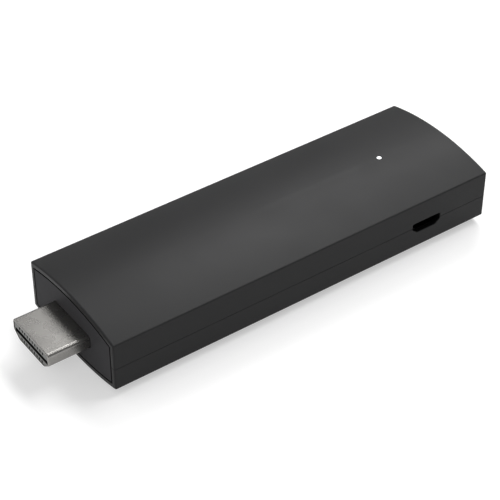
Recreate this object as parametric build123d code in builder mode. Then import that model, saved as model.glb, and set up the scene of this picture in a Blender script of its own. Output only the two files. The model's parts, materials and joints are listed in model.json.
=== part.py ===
from build123d import *
from math import copysign, sqrt
import os

# A streaming stick: a crowned housing of two shells and an end plate, with a video plug at the front,
# a micro-B power port in one long side, a status light in the top and a recessed reset key in the
# other long side. Millimetres. +X runs from the plug to the far end, the power port faces -Y, +Z is
# up, and the origin lies under the middle of the whole stick, level with its lowest line.

# Housing
body_length = 96.5  # shells alone, front rim to far end
body_width = 31.8
side_height = 11.6  # flat part of each long side
crown_rise = 2.1  # the top and the bottom each rise this far over the side edges
edge_radius = 0.4
wall = 1.1
axis_drop = 0.45  # the parting plane and the plug's centre lie this far below mid-height

# Parting line, lip and snap hooks
seam_bevel = 0.08
lip_thickness = 0.5
lip_height = 0.8
lip_clearance = 0.06
lip_front = 4.0  # behind the front rim
hook_length = 5.0
hook_thickness = 0.7
hook_root = 1.6  # height of the root on the wall, above the lip's groove
hook_drop = 2.3  # below the parting plane
catch_depth = 0.35
catch_height = 0.6
catch_clearance = 0.06
front_hooks = (22.0, 46.0)  # centres behind the front rim
rear_hook = 34.0  # centre ahead of the far end

# End plate round the plug
cap_plate = 1.0
cap_flange = 0.8
cap_groove = 0.3  # dark gap round the visible plate
cap_clearance = 0.05
keeper_rise = 0.18  # bead inside the rim, in front of the plate's flange
keeper_length = 0.3
stop_rise = 1.0  # rib behind the flange
stop_length = 1.0

# Video plug
plug_reach = 9.6  # beyond the front rim
plug_width = 13.9
plug_height = 4.45
plug_side = 2.8  # upright part of each side, from the top
plug_base_width = 9.7
plug_corner = 0.45
plug_sheet = 0.3
plug_tip_bevel = 0.2
plug_inside = 5.2  # behind the front rim
plug_gap = 0.1  # to the end plate

# Contact carrier inside the plug
carrier_recess = 0.15
carrier_clearance = 0.02
slot_width = 12.6
slot_height = 1.0
slot_drop = 0.25  # middle below the plug's
slot_depth = 7.0
face_wall = 0.5  # front wall that ends the channels, with a window for each
window_width = 0.34
window_height = 0.42
upper_windows = 1.05  # middle above the plug's
lower_windows = -1.53
contact_pitch = 1.0
upper_contacts = 10
lower_contacts = 9
contact_width = 0.34
contact_thickness = 0.2
contact_recess = 0.15  # behind the front wall
contact_proud = 0.1  # front end beyond the slot's face
contact_tail = 2.2  # on the board
channel_width = 0.46

# Cover over the plug's rear and tails
cover_sheet = 0.25
cover_length = 7.1
cover_gap = 0.3  # behind the end plate
cover_bend = 0.3
leg_width = 1.6
leg_offset = 0.8  # from the board's front edge
leg_depth = 0.6  # below the board
leg_clearance = 0.1

# Main board
board_thickness = 1.0
board_side_gap = 1.3  # to the shell's inner wall
board_front_gap = 0.2  # behind the plug
board_rear_gap = 2.4
board_corner = 1.0

# Board screws and the shell's bosses and ribs
screw_radius = 0.8
screw_clearance = 0.1
screw_thread_gap = 0.02
screw_head_radius = 1.4
screw_head_height = 0.8
screw_recess = 0.4
screw_length = 4.0  # under the head
screw_edge = 2.1  # from the board's long edges
screw_front = 11.4  # behind the front rim
screw_rear = 26.5  # ahead of the far end
boss_radius = 1.8
boss_floor = 0.5  # left under the pilot hole
rib_thickness = 0.8
front_ribs = (14.6, 33.0)  # behind the front rim
rear_ribs = (38.5, 8.5)  # ahead of the far end
rib_inset = 1.2  # from the board's long edges
hoop_height = 1.2
hoop_places = (31.0, 9.5)  # ahead of the far end

# Chips under the shield
chip_side = 14.0
chip_height = 1.0
chip_offset = 2.4  # from the shield's front wall
chip_bevel = 0.15
memory_length = 9.0
memory_height = 0.9
memory_gap = 2.4  # behind the processor
memory_edge = 1.0  # to the shield's long walls
memory_split = 0.6  # between the two
flash_length = 11.5
flash_width = 13.0
flash_height = 1.0

# Shield, pads and heat spreader
shield_front = 16.0  # behind the front rim
shield_rear_gap = 6.0  # to the wireless module
shield_side_gap = 4.0  # to the board's long edges
shield_sheet = 0.2
shield_height = 1.4
shield_flange = 0.7
lid_skirt = 0.9
lid_clearance = 0.04
pad_height = 0.8
pad_inset = 1.5
spreader_overhang = 3.0  # beyond the shield, along the stick
spreader_side = 0.5  # beyond the shield, across it
spreader_plate = 1.0
spreader_corner = 1.5
fin_height = 1.0
fin_thickness = 0.6
fin_pitch = 1.8
fin_count = 7
fin_inset = 5.0  # from the plate's ends
post_radius = 1.1
post_inset = 2.0

# Wireless module and aerials
module_rear = 22.5  # ahead of the far end
module_length = 12.0
module_width = 12.0
module_board = 0.7
module_cover_height = 1.4
module_rim = 0.6
aerial_rear = 5.2  # ahead of the far end
aerial_length = 8.0
aerial_height = 3.0
aerial_depth = 4.0
aerial_sheet = 0.3
aerial_leg = 1.2
aerial_leg_height = 1.3
aerial_edge = 1.1  # to the board's long edge

# Micro-B power port
port_rear = 16.75  # centre, ahead of the far end
port_drop = 0.2  # centre below the plug's axis
port_width = 7.4
port_height = 2.3
port_bevel_across = 1.25
port_bevel_up = 0.95
port_sheet = 0.25
port_depth = 5.1
port_recess = 0.9  # mouth behind the shell's outer face
port_clearance = 0.1
wing_width = 1.1
wing_length = 2.0
wing_offset = 1.7  # behind the mouth
tongue_width = 3.6
tongue_thickness = 0.55
tongue_rise = 0.1  # underside above the port's centre
tongue_recess = 0.5  # behind the mouth
tongue_block = 1.4  # solid rear end
pin_count = 5
pin_pitch = 0.65
pin_width = 0.3
pin_thickness = 0.12
pin_proud = 0.04
pin_tail = 1.0

# Status light
light_rear = 17.6  # ahead of the far end
light_length = 1.6
light_width = 0.8
light_height = 0.6
pipe_radius = 0.55
pipe_clearance = 0.04
pipe_gap = 0.3  # over the light
pipe_collar_radius = 1.3
pipe_collar_height = 0.6
sleeve_thickness = 0.8
sleeve_height = 1.8

# Reset key
key_rear = 16.5  # ahead of the far end
key_width = 4.2
key_depth = 3.0
key_height = 2.4
key_cover_sheet = 0.2
key_cover_length = 2.0
cavity_width = 3.0
cavity_height = 1.7
cavity_depth = 1.3
plunger_width = 2.6
plunger_height = 1.4
plunger_flange = 0.5
plunger_gap = 0.05  # between the flange and the cover at rest
stem_radius = 0.65
stem_bevel = 0.16
stem_clearance = 0.1
stem_reach = 0.8  # beyond the cover
nub_radius = 0.5
dome_radius = 0.75
dome_crown = 0.3  # radius of its flat top
dome_rise = 0.35
dome_sheet = 0.08
dome_gap = 0.05  # between the dome's crest and the nub
pinhole_radius = 0.6

# Small parts on the board
crystal_rear = 13.2
crystal_length = 3.2
crystal_width = 2.5
crystal_height = 0.7
crystal_offset = 4.5  # from the middle line
inductor_rear = 20.5
inductor_side = 3.0
inductor_height = 1.6
inductor_spacing = 4.5
inductor_count = 3
capacitor_length = 1.6
capacitor_width = 0.8
capacitor_height = 0.8
capacitor_spacing = 3.0
capacitor_columns = 4
capacitor_rows = 2

# How a block stands on, or hangs under, the point it is placed at
standing = (Align.CENTER, Align.CENTER, Align.MIN)
hanging = (Align.CENTER, Align.CENTER, Align.MAX)

# Sizes that follow from these
body_height = side_height + 2 * crown_rise
crown_radius = ((body_width / 2) ** 2 + crown_rise**2) / (2 * crown_rise)
axis_z = body_height / 2 - axis_drop
rim_x = plug_reach - (body_length + plug_reach) / 2
end_x = rim_x + body_length
side_y = body_width / 2
cap_depth = cap_plate + cap_flange
plug_tip = rim_x - plug_reach
plug_length = plug_reach + plug_inside
carrier_x = plug_tip + carrier_recess
slot_z = axis_z - slot_drop

board_top = axis_z + board_thickness / 2
board_bottom = axis_z - board_thickness / 2
board_half = side_y - wall - board_side_gap
board_front = rim_x + plug_inside + board_front_gap
board_rear = end_x - wall - board_rear_gap
screw_y = board_half - screw_edge
screw_places = [
    (x, side * screw_y) for x in (rim_x + screw_front, end_x - screw_rear) for side in (-1, 1)
]
rib_places = [rim_x + place for place in front_ribs] + [end_x - place for place in rear_ribs]
hook_places = [rim_x + place for place in front_hooks] + [end_x - rear_hook]

module_end = end_x - module_rear
module_front = module_end - module_length
shield_start = rim_x + shield_front
shield_end = module_front - shield_rear_gap
shield_middle = (shield_start + shield_end) / 2
shield_length = shield_end - shield_start
shield_half = board_half - shield_side_gap
chip_x = shield_start + chip_offset + chip_side / 2
memory_x = chip_x + chip_side / 2 + memory_gap + memory_length / 2
memory_width = shield_half - shield_sheet - memory_edge - memory_split / 2
memory_spacing = memory_width + memory_split
flash_x = (rib_places[1] + rib_places[2] + rib_thickness) / 2
capacitor_x = (rib_places[0] + rib_places[1] + rib_thickness) / 2
lid_bottom = board_top + shield_height
lid_top = lid_bottom + shield_sheet
spreader_bottom = lid_top + pad_height
spreader_top = spreader_bottom + spreader_plate
spreader_length = shield_length + 2 * spreader_overhang
spreader_half = shield_half + spreader_side

port_x = end_x - port_rear
port_z = axis_z - port_drop
port_mouth = -side_y + port_recess
port_back = port_mouth + port_depth
light_x = end_x - light_rear
key_x = end_x - key_rear
key_z = board_top + key_height / 2
key_face = board_half - key_cover_sheet
cavity_floor = key_face - cavity_depth
dome_crest = cavity_floor + dome_rise
collar_top = body_height - wall - pipe_clearance


def crown_height(y, inset=0.0):
    """Height of the top crown at y, on a surface this far inside the outer one."""
    return body_height - crown_radius + sqrt((crown_radius - inset) ** 2 - y**2)


def cross_plane(x):
    """Upright plane across the stick at x, with +Y to the right and +Z up."""
    return Plane(origin=(x, 0, 0), x_dir=(0, 1, 0), z_dir=(1, 0, 0))


def long_plane(y):
    """Upright plane along the stick at y, seen from the port side, with +X to the right."""
    return Plane(origin=(0, y, 0), x_dir=(1, 0, 0), z_dir=(0, -1, 0))


def crowned_section(x, inset=0.0):
    """The housing's cross-section at x: flat sides between two equal crowns."""
    half = side_y - inset
    high = crown_height(half, inset)
    low = body_height - high
    peak = crown_height(0, inset)
    with BuildSketch(cross_plane(x)) as section:
        with BuildLine():
            Line((-half, low), (-half, high))
            ThreePointArc((-half, high), (0, peak), (half, high))
            Line((half, high), (half, low))
            ThreePointArc((half, low), (0, body_height - peak), (-half, low))
        make_face()
    return section.sketch


def plug_section(x, grow=0.0):
    """The video plug's cross-section at x: square top, sides that slope in to a narrower base."""
    half, base = plug_width / 2, plug_base_width / 2
    high, low = axis_z + plug_height / 2, axis_z - plug_height / 2
    shoulder = high - plug_side
    corners = [(-half, high), (half, high), (half, shoulder), (base, low), (-base, low), (-half, shoulder)]
    with BuildSketch(cross_plane(x)) as section:
        with BuildLine():
            Polyline(*corners, close=True)
        make_face()
        fillet(section.vertices(), plug_corner)
        if grow:
            offset(amount=grow)
    return section.sketch


def port_section(y, grow=0.0):
    """The power port's outline at y: wide top with square corners, lower corners cut."""
    half = port_width / 2
    high, low = port_z + port_height / 2, port_z - port_height / 2
    corners = [
        (port_x - half, high),
        (port_x + half, high),
        (port_x + half, low + port_bevel_up),
        (port_x + half - port_bevel_across, low),
        (port_x - half + port_bevel_across, low),
        (port_x - half, low + port_bevel_up),
    ]
    with BuildSketch(long_plane(y)) as section:
        with BuildLine():
            Polyline(*corners, close=True)
        make_face()
        if grow:
            offset(amount=grow, kind=Kind.INTERSECTION)
    return section.sketch


def lip_band(outer, inner, height):
    """U-shaped strip on the parting plane, open at the plug end, between two insets."""
    front = rim_x + lip_front
    with BuildPart() as band:
        with BuildSketch(Plane.XY.offset(axis_z)):
            for inset, mode in ((outer, Mode.ADD), (inner, Mode.SUBTRACT)):
                with Locations(((front + end_x - inset) / 2, 0)):
                    Rectangle(end_x - inset - front, body_width - 2 * inset, mode=mode)
        extrude(amount=height)
    return band.part


def snap_hook(x):
    """Spring tab inside the long wall: it hangs from the top shell and hooks the bottom one."""
    outer = side_y - wall - catch_clearance
    inner = outer - hook_thickness
    root = axis_z + lip_height + lip_clearance
    foot = axis_z - hook_drop
    with BuildPart() as hook:
        with BuildSketch(cross_plane(x - hook_length / 2)):
            with BuildLine():
                Polyline(
                    (inner, foot),
                    (inner, root + hook_root - hook_thickness),
                    (side_y - wall / 2, root + hook_root),
                    (side_y - wall / 2, root),
                    (outer, root),
                    (outer, foot + catch_height),
                    (outer + catch_depth, foot + catch_height),
                    (outer, foot),
                    close=True,
                )
            make_face()
        extrude(amount=hook_length)
        mirror(about=Plane.XZ)
    return hook.part


def contact_row(count, side):
    """Plug contacts side by side: springs that reach into the slot and end as tails on the board."""
    start = carrier_x + face_wall + contact_recess
    bend = carrier_x + slot_depth
    end = board_front + contact_tail
    thickness = side * contact_thickness
    tip = slot_z + side * (slot_height / 2 - contact_proud)
    near = axis_z + side * board_thickness / 2
    with BuildPart() as strip:
        with BuildSketch(long_plane(0)):
            with BuildLine():
                Polyline(
                    (start, tip),
                    (bend, near),
                    (end, near),
                    (end, near + thickness),
                    (bend, near + thickness),
                    (start, tip + thickness),
                    close=True,
                )
            make_face()
        extrude(amount=contact_width / 2, both=True)
    with BuildPart() as row:
        with GridLocations(1, contact_pitch, 1, count):
            add(strip.part)
    return row.part


def screw(x, y):
    """Board screw: a low head with a cross recess, and a plain shank."""
    with BuildPart() as body:
        with Locations((x, y, board_top)):
            Cylinder(screw_head_radius, screw_head_height, align=standing)
        with Locations((x, y, board_top + screw_head_height)):
            for angle in (0, 90):
                Box(
                    screw_head_radius,
                    screw_recess,
                    screw_recess,
                    rotation=(0, 0, angle),
                    align=hanging,
                    mode=Mode.SUBTRACT,
                )
        with Locations((x, y, board_top)):
            Cylinder(screw_radius, screw_length, align=hanging)
    return body.part


def aerial(side):
    """Stamped inverted-F aerial: an upright strip on two legs, with an arm folded over the board."""
    x = end_x - aerial_rear
    far = side * (board_half - aerial_edge)
    near = far - side * aerial_length
    leg = side * aerial_leg
    top = board_top + aerial_height
    with BuildPart() as strip:
        with BuildSketch(cross_plane(x - aerial_sheet)):
            with BuildLine():
                Polyline(
                    (near, board_top),
                    (near, top),
                    (far, top),
                    (far, board_top + aerial_leg_height),
                    (near + 3 * leg, board_top + aerial_leg_height),
                    (near + 3 * leg, board_top),
                    (near + 2 * leg, board_top),
                    (near + 2 * leg, board_top + aerial_leg_height),
                    (near + leg, board_top + aerial_leg_height),
                    (near + leg, board_top),
                    close=True,
                )
            make_face()
        extrude(amount=aerial_sheet)
        with BuildSketch(Plane.XY.offset(top - aerial_sheet)):
            with Locations((x - aerial_depth / 2, (near + far) / 2)):
                Rectangle(aerial_depth, aerial_length)
            with Locations((x - aerial_depth / 2 - aerial_sheet, (near + far) / 2 - leg)):
                Rectangle(aerial_depth - 3 * aerial_sheet, aerial_length / 4, mode=Mode.SUBTRACT)
        extrude(amount=aerial_sheet)
    return strip.part


def chip(x, y, z, length, width, height, bevel=0.0):
    """Moulded or stacked component: a low block whose upper edges may be bevelled."""
    with BuildPart() as block:
        with Locations((x, y, z)):
            Box(length, width, height, align=standing)
        if bevel:
            chamfer(block.faces().sort_by(Axis.Z)[-1].edges(), bevel)
    return block.part


def outer_seam(shell):
    """Edges of a shell's parting face that lie on the outside."""
    seam = shell.edges().filter_by_position(Axis.Z, axis_z, axis_z)
    return [edge for edge in seam if abs(edge.center().Y) > side_y - edge_radius / 2]


def support_rib(x):
    """Cross rib that stands on the crowned floor and carries the board."""
    with BuildPart() as rib:
        extrude(crowned_section(x, wall / 2), amount=rib_thickness)
        with Locations((x, 0, 0)):
            Box(
                rib_thickness,
                2 * (board_half - rib_inset),
                board_bottom,
                align=(Align.MIN, Align.CENTER, Align.MIN),
                mode=Mode.INTERSECT,
            )
    return rib.part


# Housing before it is parted: rounded outside, hollow, with stiffening hoops and, behind the front
# rim, the bead and the stop rib that hold the end plate
with BuildPart() as housing:
    extrude(crowned_section(rim_x), amount=body_length)
    fillet(housing.edges(), edge_radius)
    extrude(crowned_section(rim_x, wall), amount=body_length - wall, mode=Mode.SUBTRACT)
    bands = [
        (rim_x + cap_plate - keeper_length, keeper_length, keeper_rise),
        (rim_x + cap_depth + cap_clearance, stop_length, stop_rise),
    ]
    bands += [(end_x - place, rib_thickness, hoop_height) for place in hoop_places]
    for start, length, rise in bands:
        extrude(crowned_section(start, wall / 2), amount=length)
        extrude(crowned_section(start, wall + rise), amount=length, mode=Mode.SUBTRACT)

# Top shell: the upper part, with the lip's groove, snap hooks, posts on the heat spreader, the light
# pipe's sleeve and hole, its share of the port's opening and the reset pinhole
with BuildPart() as top_shell:
    add(housing.part)
    split(bisect_by=Plane.XY.offset(axis_z), keep=Keep.TOP)
    chamfer(outer_seam(top_shell), seam_bevel)
    groove_start = wall - lip_thickness - lip_clearance
    add(lip_band(groove_start, wall, lip_height + lip_clearance), mode=Mode.SUBTRACT)
    for hook_x in hook_places:
        add(snap_hook(hook_x))
    post_x = spreader_length / 2 - post_inset
    post_y = spreader_half - post_inset
    post_top = crown_height(post_y, wall / 2)
    with Locations((shield_middle, 0, spreader_top)):
        with GridLocations(2 * post_x, 2 * post_y, 2, 2):
            Cylinder(post_radius, post_top - spreader_top, align=standing)
    sleeve_radius = pipe_collar_radius + pipe_clearance + sleeve_thickness
    with Locations((light_x, 0, body_height - wall / 2)):
        Cylinder(sleeve_radius, sleeve_height, align=hanging)
        Cylinder(pipe_radius + pipe_clearance, 2 * wall, mode=Mode.SUBTRACT)
    with Locations((light_x, 0, collar_top + pipe_clearance)):
        Cylinder(
            pipe_collar_radius + pipe_clearance,
            2 * sleeve_height,
            align=hanging,
            mode=Mode.SUBTRACT,
        )
    extrude(port_section(-side_y, port_clearance), amount=-port_recess - port_depth, mode=Mode.SUBTRACT)
    with BuildSketch(long_plane(side_y)):
        with Locations((key_x, key_z)):
            Circle(pinhole_radius)
    extrude(amount=2 * wall, mode=Mode.SUBTRACT)
top_shell.part.label = "top_shell"

# Bottom shell: the lower part, with the lip, pockets for the hooks, screw bosses and board ribs
with BuildPart() as bottom_shell:
    add(housing.part)
    split(bisect_by=Plane.XY.offset(axis_z), keep=Keep.BOTTOM)
    chamfer(outer_seam(bottom_shell), seam_bevel)
    add(lip_band(wall - lip_thickness, wall, lip_height))
    for hook_x in hook_places:
        with Locations((hook_x, 0, axis_z - hook_drop - catch_clearance)):
            Box(
                hook_length + 2 * catch_clearance,
                2 * (side_y - wall + catch_depth),
                catch_height + 2 * catch_clearance,
                align=standing,
                mode=Mode.SUBTRACT,
            )
    boss_base = body_height - crown_height(screw_y, wall / 2)
    for x, y in screw_places:
        with Locations((x, y, boss_base)):
            Cylinder(boss_radius, board_bottom - boss_base, align=standing)
        with Locations((x, y, board_bottom)):
            Cylinder(
                screw_radius + screw_thread_gap,
                screw_length - board_thickness + boss_floor,
                align=hanging,
                mode=Mode.SUBTRACT,
            )
    for rib_x in rib_places:
        add(support_rib(rib_x))
    extrude(port_section(-side_y, port_clearance), amount=-port_recess - port_depth, mode=Mode.SUBTRACT)
bottom_shell.part.label = "bottom_shell"

# End plate: the visible plate, a wider flange behind it and the plug's opening
with BuildPart() as front_cap:
    extrude(crowned_section(rim_x, wall + cap_groove), amount=cap_depth)
    extrude(crowned_section(rim_x + cap_plate, wall + cap_clearance), amount=cap_flange)
    extrude(plug_section(rim_x, plug_gap), amount=cap_depth, mode=Mode.SUBTRACT)
    chamfer(front_cap.edges().filter_by_position(Axis.X, rim_x, rim_x), seam_bevel)
front_cap.part.label = "front_cap"

# Video plug's metal shell, folded from sheet
with BuildPart() as plug_shell:
    extrude(plug_section(plug_tip), amount=plug_length)
    chamfer(plug_shell.edges().group_by(Axis.X)[0], plug_tip_bevel)
    extrude(plug_section(plug_tip, -plug_sheet), amount=plug_length, mode=Mode.SUBTRACT)
plug_shell.part.label = "plug_shell"

# Plug contacts, ten above the board and nine below it
with BuildPart() as plug_contacts_upper:
    add(contact_row(upper_contacts, 1))
plug_contacts_upper.part.label = "plug_contacts_upper"

with BuildPart() as plug_contacts_lower:
    add(contact_row(lower_contacts, -1))
plug_contacts_lower.part.label = "plug_contacts_lower"

# Insulating carrier: a block with the tongue's slot, the contacts' channels behind a front wall
# with a window for each, and their tunnels
with BuildPart() as plug_contact_carrier:
    extrude(plug_section(carrier_x, -plug_sheet - carrier_clearance), amount=plug_length - carrier_recess)
    with Locations((carrier_x + slot_depth / 2, 0, slot_z)):
        Box(slot_depth, slot_width, slot_height, mode=Mode.SUBTRACT)
    for count, window in ((upper_contacts, upper_windows), (lower_contacts, lower_windows)):
        outer = axis_z + window + copysign(window_height / 2, window)
        with Locations(((face_wall + slot_depth) / 2 + carrier_x, 0, (slot_z + outer) / 2)):
            with GridLocations(1, contact_pitch, 1, count):
                Box(slot_depth - face_wall, channel_width, abs(outer - slot_z), mode=Mode.SUBTRACT)
        with Locations((carrier_x + face_wall, 0, axis_z + window)):
            with GridLocations(1, contact_pitch, 1, count):
                Box(2 * face_wall, window_width, window_height, mode=Mode.SUBTRACT)
    add(plug_contacts_upper.part, mode=Mode.SUBTRACT)
    add(plug_contacts_lower.part, mode=Mode.SUBTRACT)
plug_contact_carrier.part.label = "plug_contact_carrier"

# Metal cover over the plug's rear and the contact tails, with two legs through the board
with BuildPart() as plug_rear_cover:
    cover_x = rim_x + cap_depth + cover_gap
    cover_half = plug_width / 2 + cover_sheet
    cover_top = axis_z + plug_height / 2 + cover_sheet
    leg_x = board_front + leg_offset + leg_width / 2
    with Locations((cover_x, 0, board_top)):
        Box(cover_length, 2 * cover_half, cover_top - board_top, align=(Align.MIN, Align.CENTER, Align.MIN))
    fillet(plug_rear_cover.edges().filter_by(Axis.X).group_by(Axis.Z)[-1], cover_bend)
    with Locations((cover_x, 0, board_top)):
        Box(
            cover_length - cover_sheet,
            plug_width,
            cover_top - cover_sheet - board_top,
            align=(Align.MIN, Align.CENTER, Align.MIN),
            mode=Mode.SUBTRACT,
        )
    for side in (-1, 1):
        with Locations((leg_x, side * (cover_half - cover_sheet / 2), board_top)):
            Box(leg_width, cover_sheet, board_thickness + leg_depth, align=hanging)
plug_rear_cover.part.label = "plug_rear_cover"

# Main board: screw holes, slots for the cover's legs and the port's notch in one long edge
with BuildPart() as main_board:
    with BuildSketch(Plane.XY.offset(board_bottom)) as board_outline:
        with Locations(((board_front + board_rear) / 2, 0)):
            RectangleRounded(board_rear - board_front, 2 * board_half, board_corner)
        with Locations(*screw_places):
            Circle(screw_radius + screw_clearance, mode=Mode.SUBTRACT)
        with Locations((leg_x, cover_half - cover_sheet / 2), (leg_x, cover_sheet / 2 - cover_half)):
            Rectangle(leg_width + 2 * leg_clearance, cover_sheet + 2 * leg_clearance, mode=Mode.SUBTRACT)
        with Locations((port_x, -board_half)):
            Rectangle(
                port_width + 2 * port_clearance,
                2 * (port_back + port_clearance + board_half),
                mode=Mode.SUBTRACT,
            )
    extrude(amount=board_thickness)
main_board.part.label = "main_board"

with BuildPart() as board_screws:
    for x, y in screw_places:
        add(screw(x, y))
board_screws.part.label = "board_screws"

# Chips: processor and memory under the shield, storage on the board's underside
with BuildPart() as processor:
    add(chip(chip_x, 0, board_top, chip_side, chip_side, chip_height, chip_bevel))
processor.part.label = "processor"

with BuildPart() as memory_chips:
    with GridLocations(1, memory_spacing, 1, 2):
        add(chip(memory_x, 0, board_top, memory_length, memory_width, memory_height, chip_bevel))
memory_chips.part.label = "memory_chips"

with BuildPart() as flash_chip:
    add(chip(flash_x, 0, board_bottom - flash_height, flash_length, flash_width, flash_height))
    chamfer(flash_chip.faces().sort_by(Axis.Z)[0].edges(), chip_bevel)
flash_chip.part.label = "flash_chip"

# Shield: a soldered frame with an inward flange, and a clip-on lid with a skirt
with BuildPart() as shield_frame:
    with Locations((shield_middle, 0, board_top)):
        Box(shield_length, 2 * shield_half, shield_height, align=standing)
        Box(
            shield_length - 2 * shield_sheet,
            2 * (shield_half - shield_sheet),
            shield_height - shield_sheet,
            align=standing,
            mode=Mode.SUBTRACT,
        )
        Box(
            shield_length - 2 * shield_flange,
            2 * (shield_half - shield_flange),
            shield_height,
            align=standing,
            mode=Mode.SUBTRACT,
        )
shield_frame.part.label = "shield_frame"

with BuildPart() as shield_lid:
    skirt = shield_sheet + lid_clearance
    with Locations((shield_middle, 0, lid_top)):
        Box(
            shield_length + 2 * skirt,
            2 * (shield_half + skirt),
            shield_sheet + lid_skirt,
            align=hanging,
        )
    fillet(shield_lid.faces().sort_by(Axis.Z)[-1].edges(), shield_sheet / 2)
    with Locations((shield_middle, 0, lid_bottom)):
        Box(
            shield_length + 2 * lid_clearance,
            2 * (shield_half + lid_clearance),
            lid_skirt,
            align=hanging,
            mode=Mode.SUBTRACT,
        )
shield_lid.part.label = "shield_lid"

# Thermal path from the processor to the top: pad, lid, pad, finned spreader
with BuildPart() as thermal_pad_chip:
    with Locations((chip_x, 0, board_top + chip_height)):
        Box(chip_side - pad_inset, chip_side - pad_inset, shield_height - chip_height, align=standing)
thermal_pad_chip.part.label = "thermal_pad_chip"

with BuildPart() as thermal_pad_lid:
    with Locations((shield_middle, 0, lid_top)):
        Box(shield_length - 2 * pad_inset, 2 * (shield_half - pad_inset), pad_height, align=standing)
thermal_pad_lid.part.label = "thermal_pad_lid"

with BuildPart() as heat_spreader:
    with BuildSketch(Plane.XY.offset(spreader_bottom)):
        with Locations((shield_middle, 0)):
            RectangleRounded(spreader_length, 2 * spreader_half, spreader_corner)
    extrude(amount=spreader_plate)
    with Locations((shield_middle, 0, spreader_top)):
        with GridLocations(1, fin_pitch, 1, fin_count):
            Box(spreader_length - 2 * fin_inset, fin_thickness, fin_height, align=standing)
heat_spreader.part.label = "heat_spreader"

# Wireless module: a small board with its metal can
with BuildPart() as wireless_module:
    with Locations(((module_front + module_end) / 2, 0, board_top)):
        Box(module_length, module_width, module_board, align=standing)
wireless_module.part.label = "wireless_module"

with BuildPart() as wireless_cover:
    add(
        chip(
            (module_front + module_end) / 2,
            0,
            board_top + module_board,
            module_length - 2 * module_rim,
            module_width - 2 * module_rim,
            module_cover_height,
        )
    )
    fillet(wireless_cover.edges().group_by(Axis.Z)[-1], shield_sheet)
wireless_cover.part.label = "wireless_cover"

with BuildPart() as aerial_left:
    add(aerial(1))
aerial_left.part.label = "aerial_left"

with BuildPart() as aerial_right:
    add(aerial(-1))
aerial_right.part.label = "aerial_right"

# Power port: folded shell let into the board's notch, with two wings that rest on the board
with BuildPart() as usb_shell:
    extrude(port_section(port_mouth), amount=-port_depth)
    for side in (-1, 1):
        with Locations((port_x + side * port_width / 2, port_mouth + wing_offset, board_top)):
            Box(2 * wing_width, wing_length, port_sheet, align=(Align.CENTER, Align.MIN, Align.MIN))
    extrude(port_section(port_mouth, -port_sheet), amount=-port_depth, mode=Mode.SUBTRACT)
usb_shell.part.label = "usb_shell"

# Port contacts: five springs under the tongue that rise to tails on the board
pin_low = port_z + tongue_rise - pin_proud
pin_front = port_mouth + 2 * tongue_recess
pin_bend = port_back - tongue_block / 2
pin_end = port_back + port_clearance + pin_tail
with BuildPart() as pin:
    with BuildSketch(cross_plane(port_x)):
        with BuildLine():
            Polyline(
                (pin_front, pin_low),
                (pin_bend + pin_thickness, pin_low),
                (pin_bend + pin_thickness, board_top),
                (pin_end, board_top),
                (pin_end, board_top + pin_thickness),
                (pin_bend, board_top + pin_thickness),
                (pin_bend, pin_low + pin_thickness),
                (pin_front, pin_low + pin_thickness),
                close=True,
            )
        make_face()
    extrude(amount=pin_width / 2, both=True)

with BuildPart() as usb_contacts:
    with GridLocations(pin_pitch, 1, pin_count, 1):
        add(pin.part)
usb_contacts.part.label = "usb_contacts"

# Port tongue: insulating block at the shell's rear with a tongue that holds the contacts
with BuildPart() as usb_tongue:
    extrude(port_section(port_back, -port_sheet), amount=tongue_block)
    with Locations((port_x, port_mouth + tongue_recess, port_z + tongue_rise)):
        Box(
            tongue_width,
            port_depth - tongue_recess - tongue_block / 2,
            tongue_thickness,
            align=(Align.CENTER, Align.MIN, Align.MIN),
        )
    add(usb_contacts.part, mode=Mode.SUBTRACT)
usb_tongue.part.label = "usb_tongue"

# Status light on the board and the clear pipe that carries it to the top
with BuildPart() as status_led:
    add(chip(light_x, 0, board_top, light_length, light_width, light_height / 2))
    add(
        chip(
            light_x,
            0,
            board_top + light_height / 2,
            light_length * 2 / 3,
            light_width,
            light_height / 2,
            light_height / 6,
        )
    )
status_led.part.label = "status_led"

with BuildPart() as light_pipe:
    with BuildSketch(long_plane(0)):
        with BuildLine():
            Polyline(
                (light_x, board_top + light_height + pipe_gap),
                (light_x + pipe_radius, board_top + light_height + pipe_gap),
                (light_x + pipe_radius, collar_top - pipe_collar_height),
                (light_x + pipe_collar_radius, collar_top - pipe_collar_height),
                (light_x + pipe_collar_radius, collar_top),
                (light_x + pipe_radius, collar_top),
                (light_x + pipe_radius, body_height),
                (light_x, body_height),
                close=True,
            )
        make_face()
    revolve(axis=Axis((light_x, 0, 0), (0, 0, 1)))
light_pipe.part.label = "light_pipe"

# Reset key: a moulded base with a cavity, a folded cover, the moving plunger and its spring dome
with BuildPart() as reset_switch_base:
    with Locations((key_x, key_face, key_z)):
        Box(key_width, key_depth, key_height, align=(Align.CENTER, Align.MAX, Align.CENTER))
        Box(
            cavity_width,
            cavity_depth,
            cavity_height,
            align=(Align.CENTER, Align.MAX, Align.CENTER),
            mode=Mode.SUBTRACT,
        )
reset_switch_base.part.label = "reset_switch_base"

with BuildPart() as reset_switch_cover:
    with Locations((key_x, board_half, key_z - key_height / 2)):
        Box(
            key_width,
            key_cover_length,
            key_height + key_cover_sheet,
            align=(Align.CENTER, Align.MAX, Align.MIN),
        )
    with Locations((key_x, key_face, key_z - key_height / 2)):
        Box(
            key_width,
            key_cover_length,
            key_height,
            align=(Align.CENTER, Align.MAX, Align.MIN),
            mode=Mode.SUBTRACT,
        )
    with BuildSketch(long_plane(board_half)):
        with Locations((key_x, key_z)):
            Circle(stem_radius + stem_clearance)
    extrude(amount=key_depth, both=True, mode=Mode.SUBTRACT)
reset_switch_cover.part.label = "reset_switch_cover"

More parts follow.
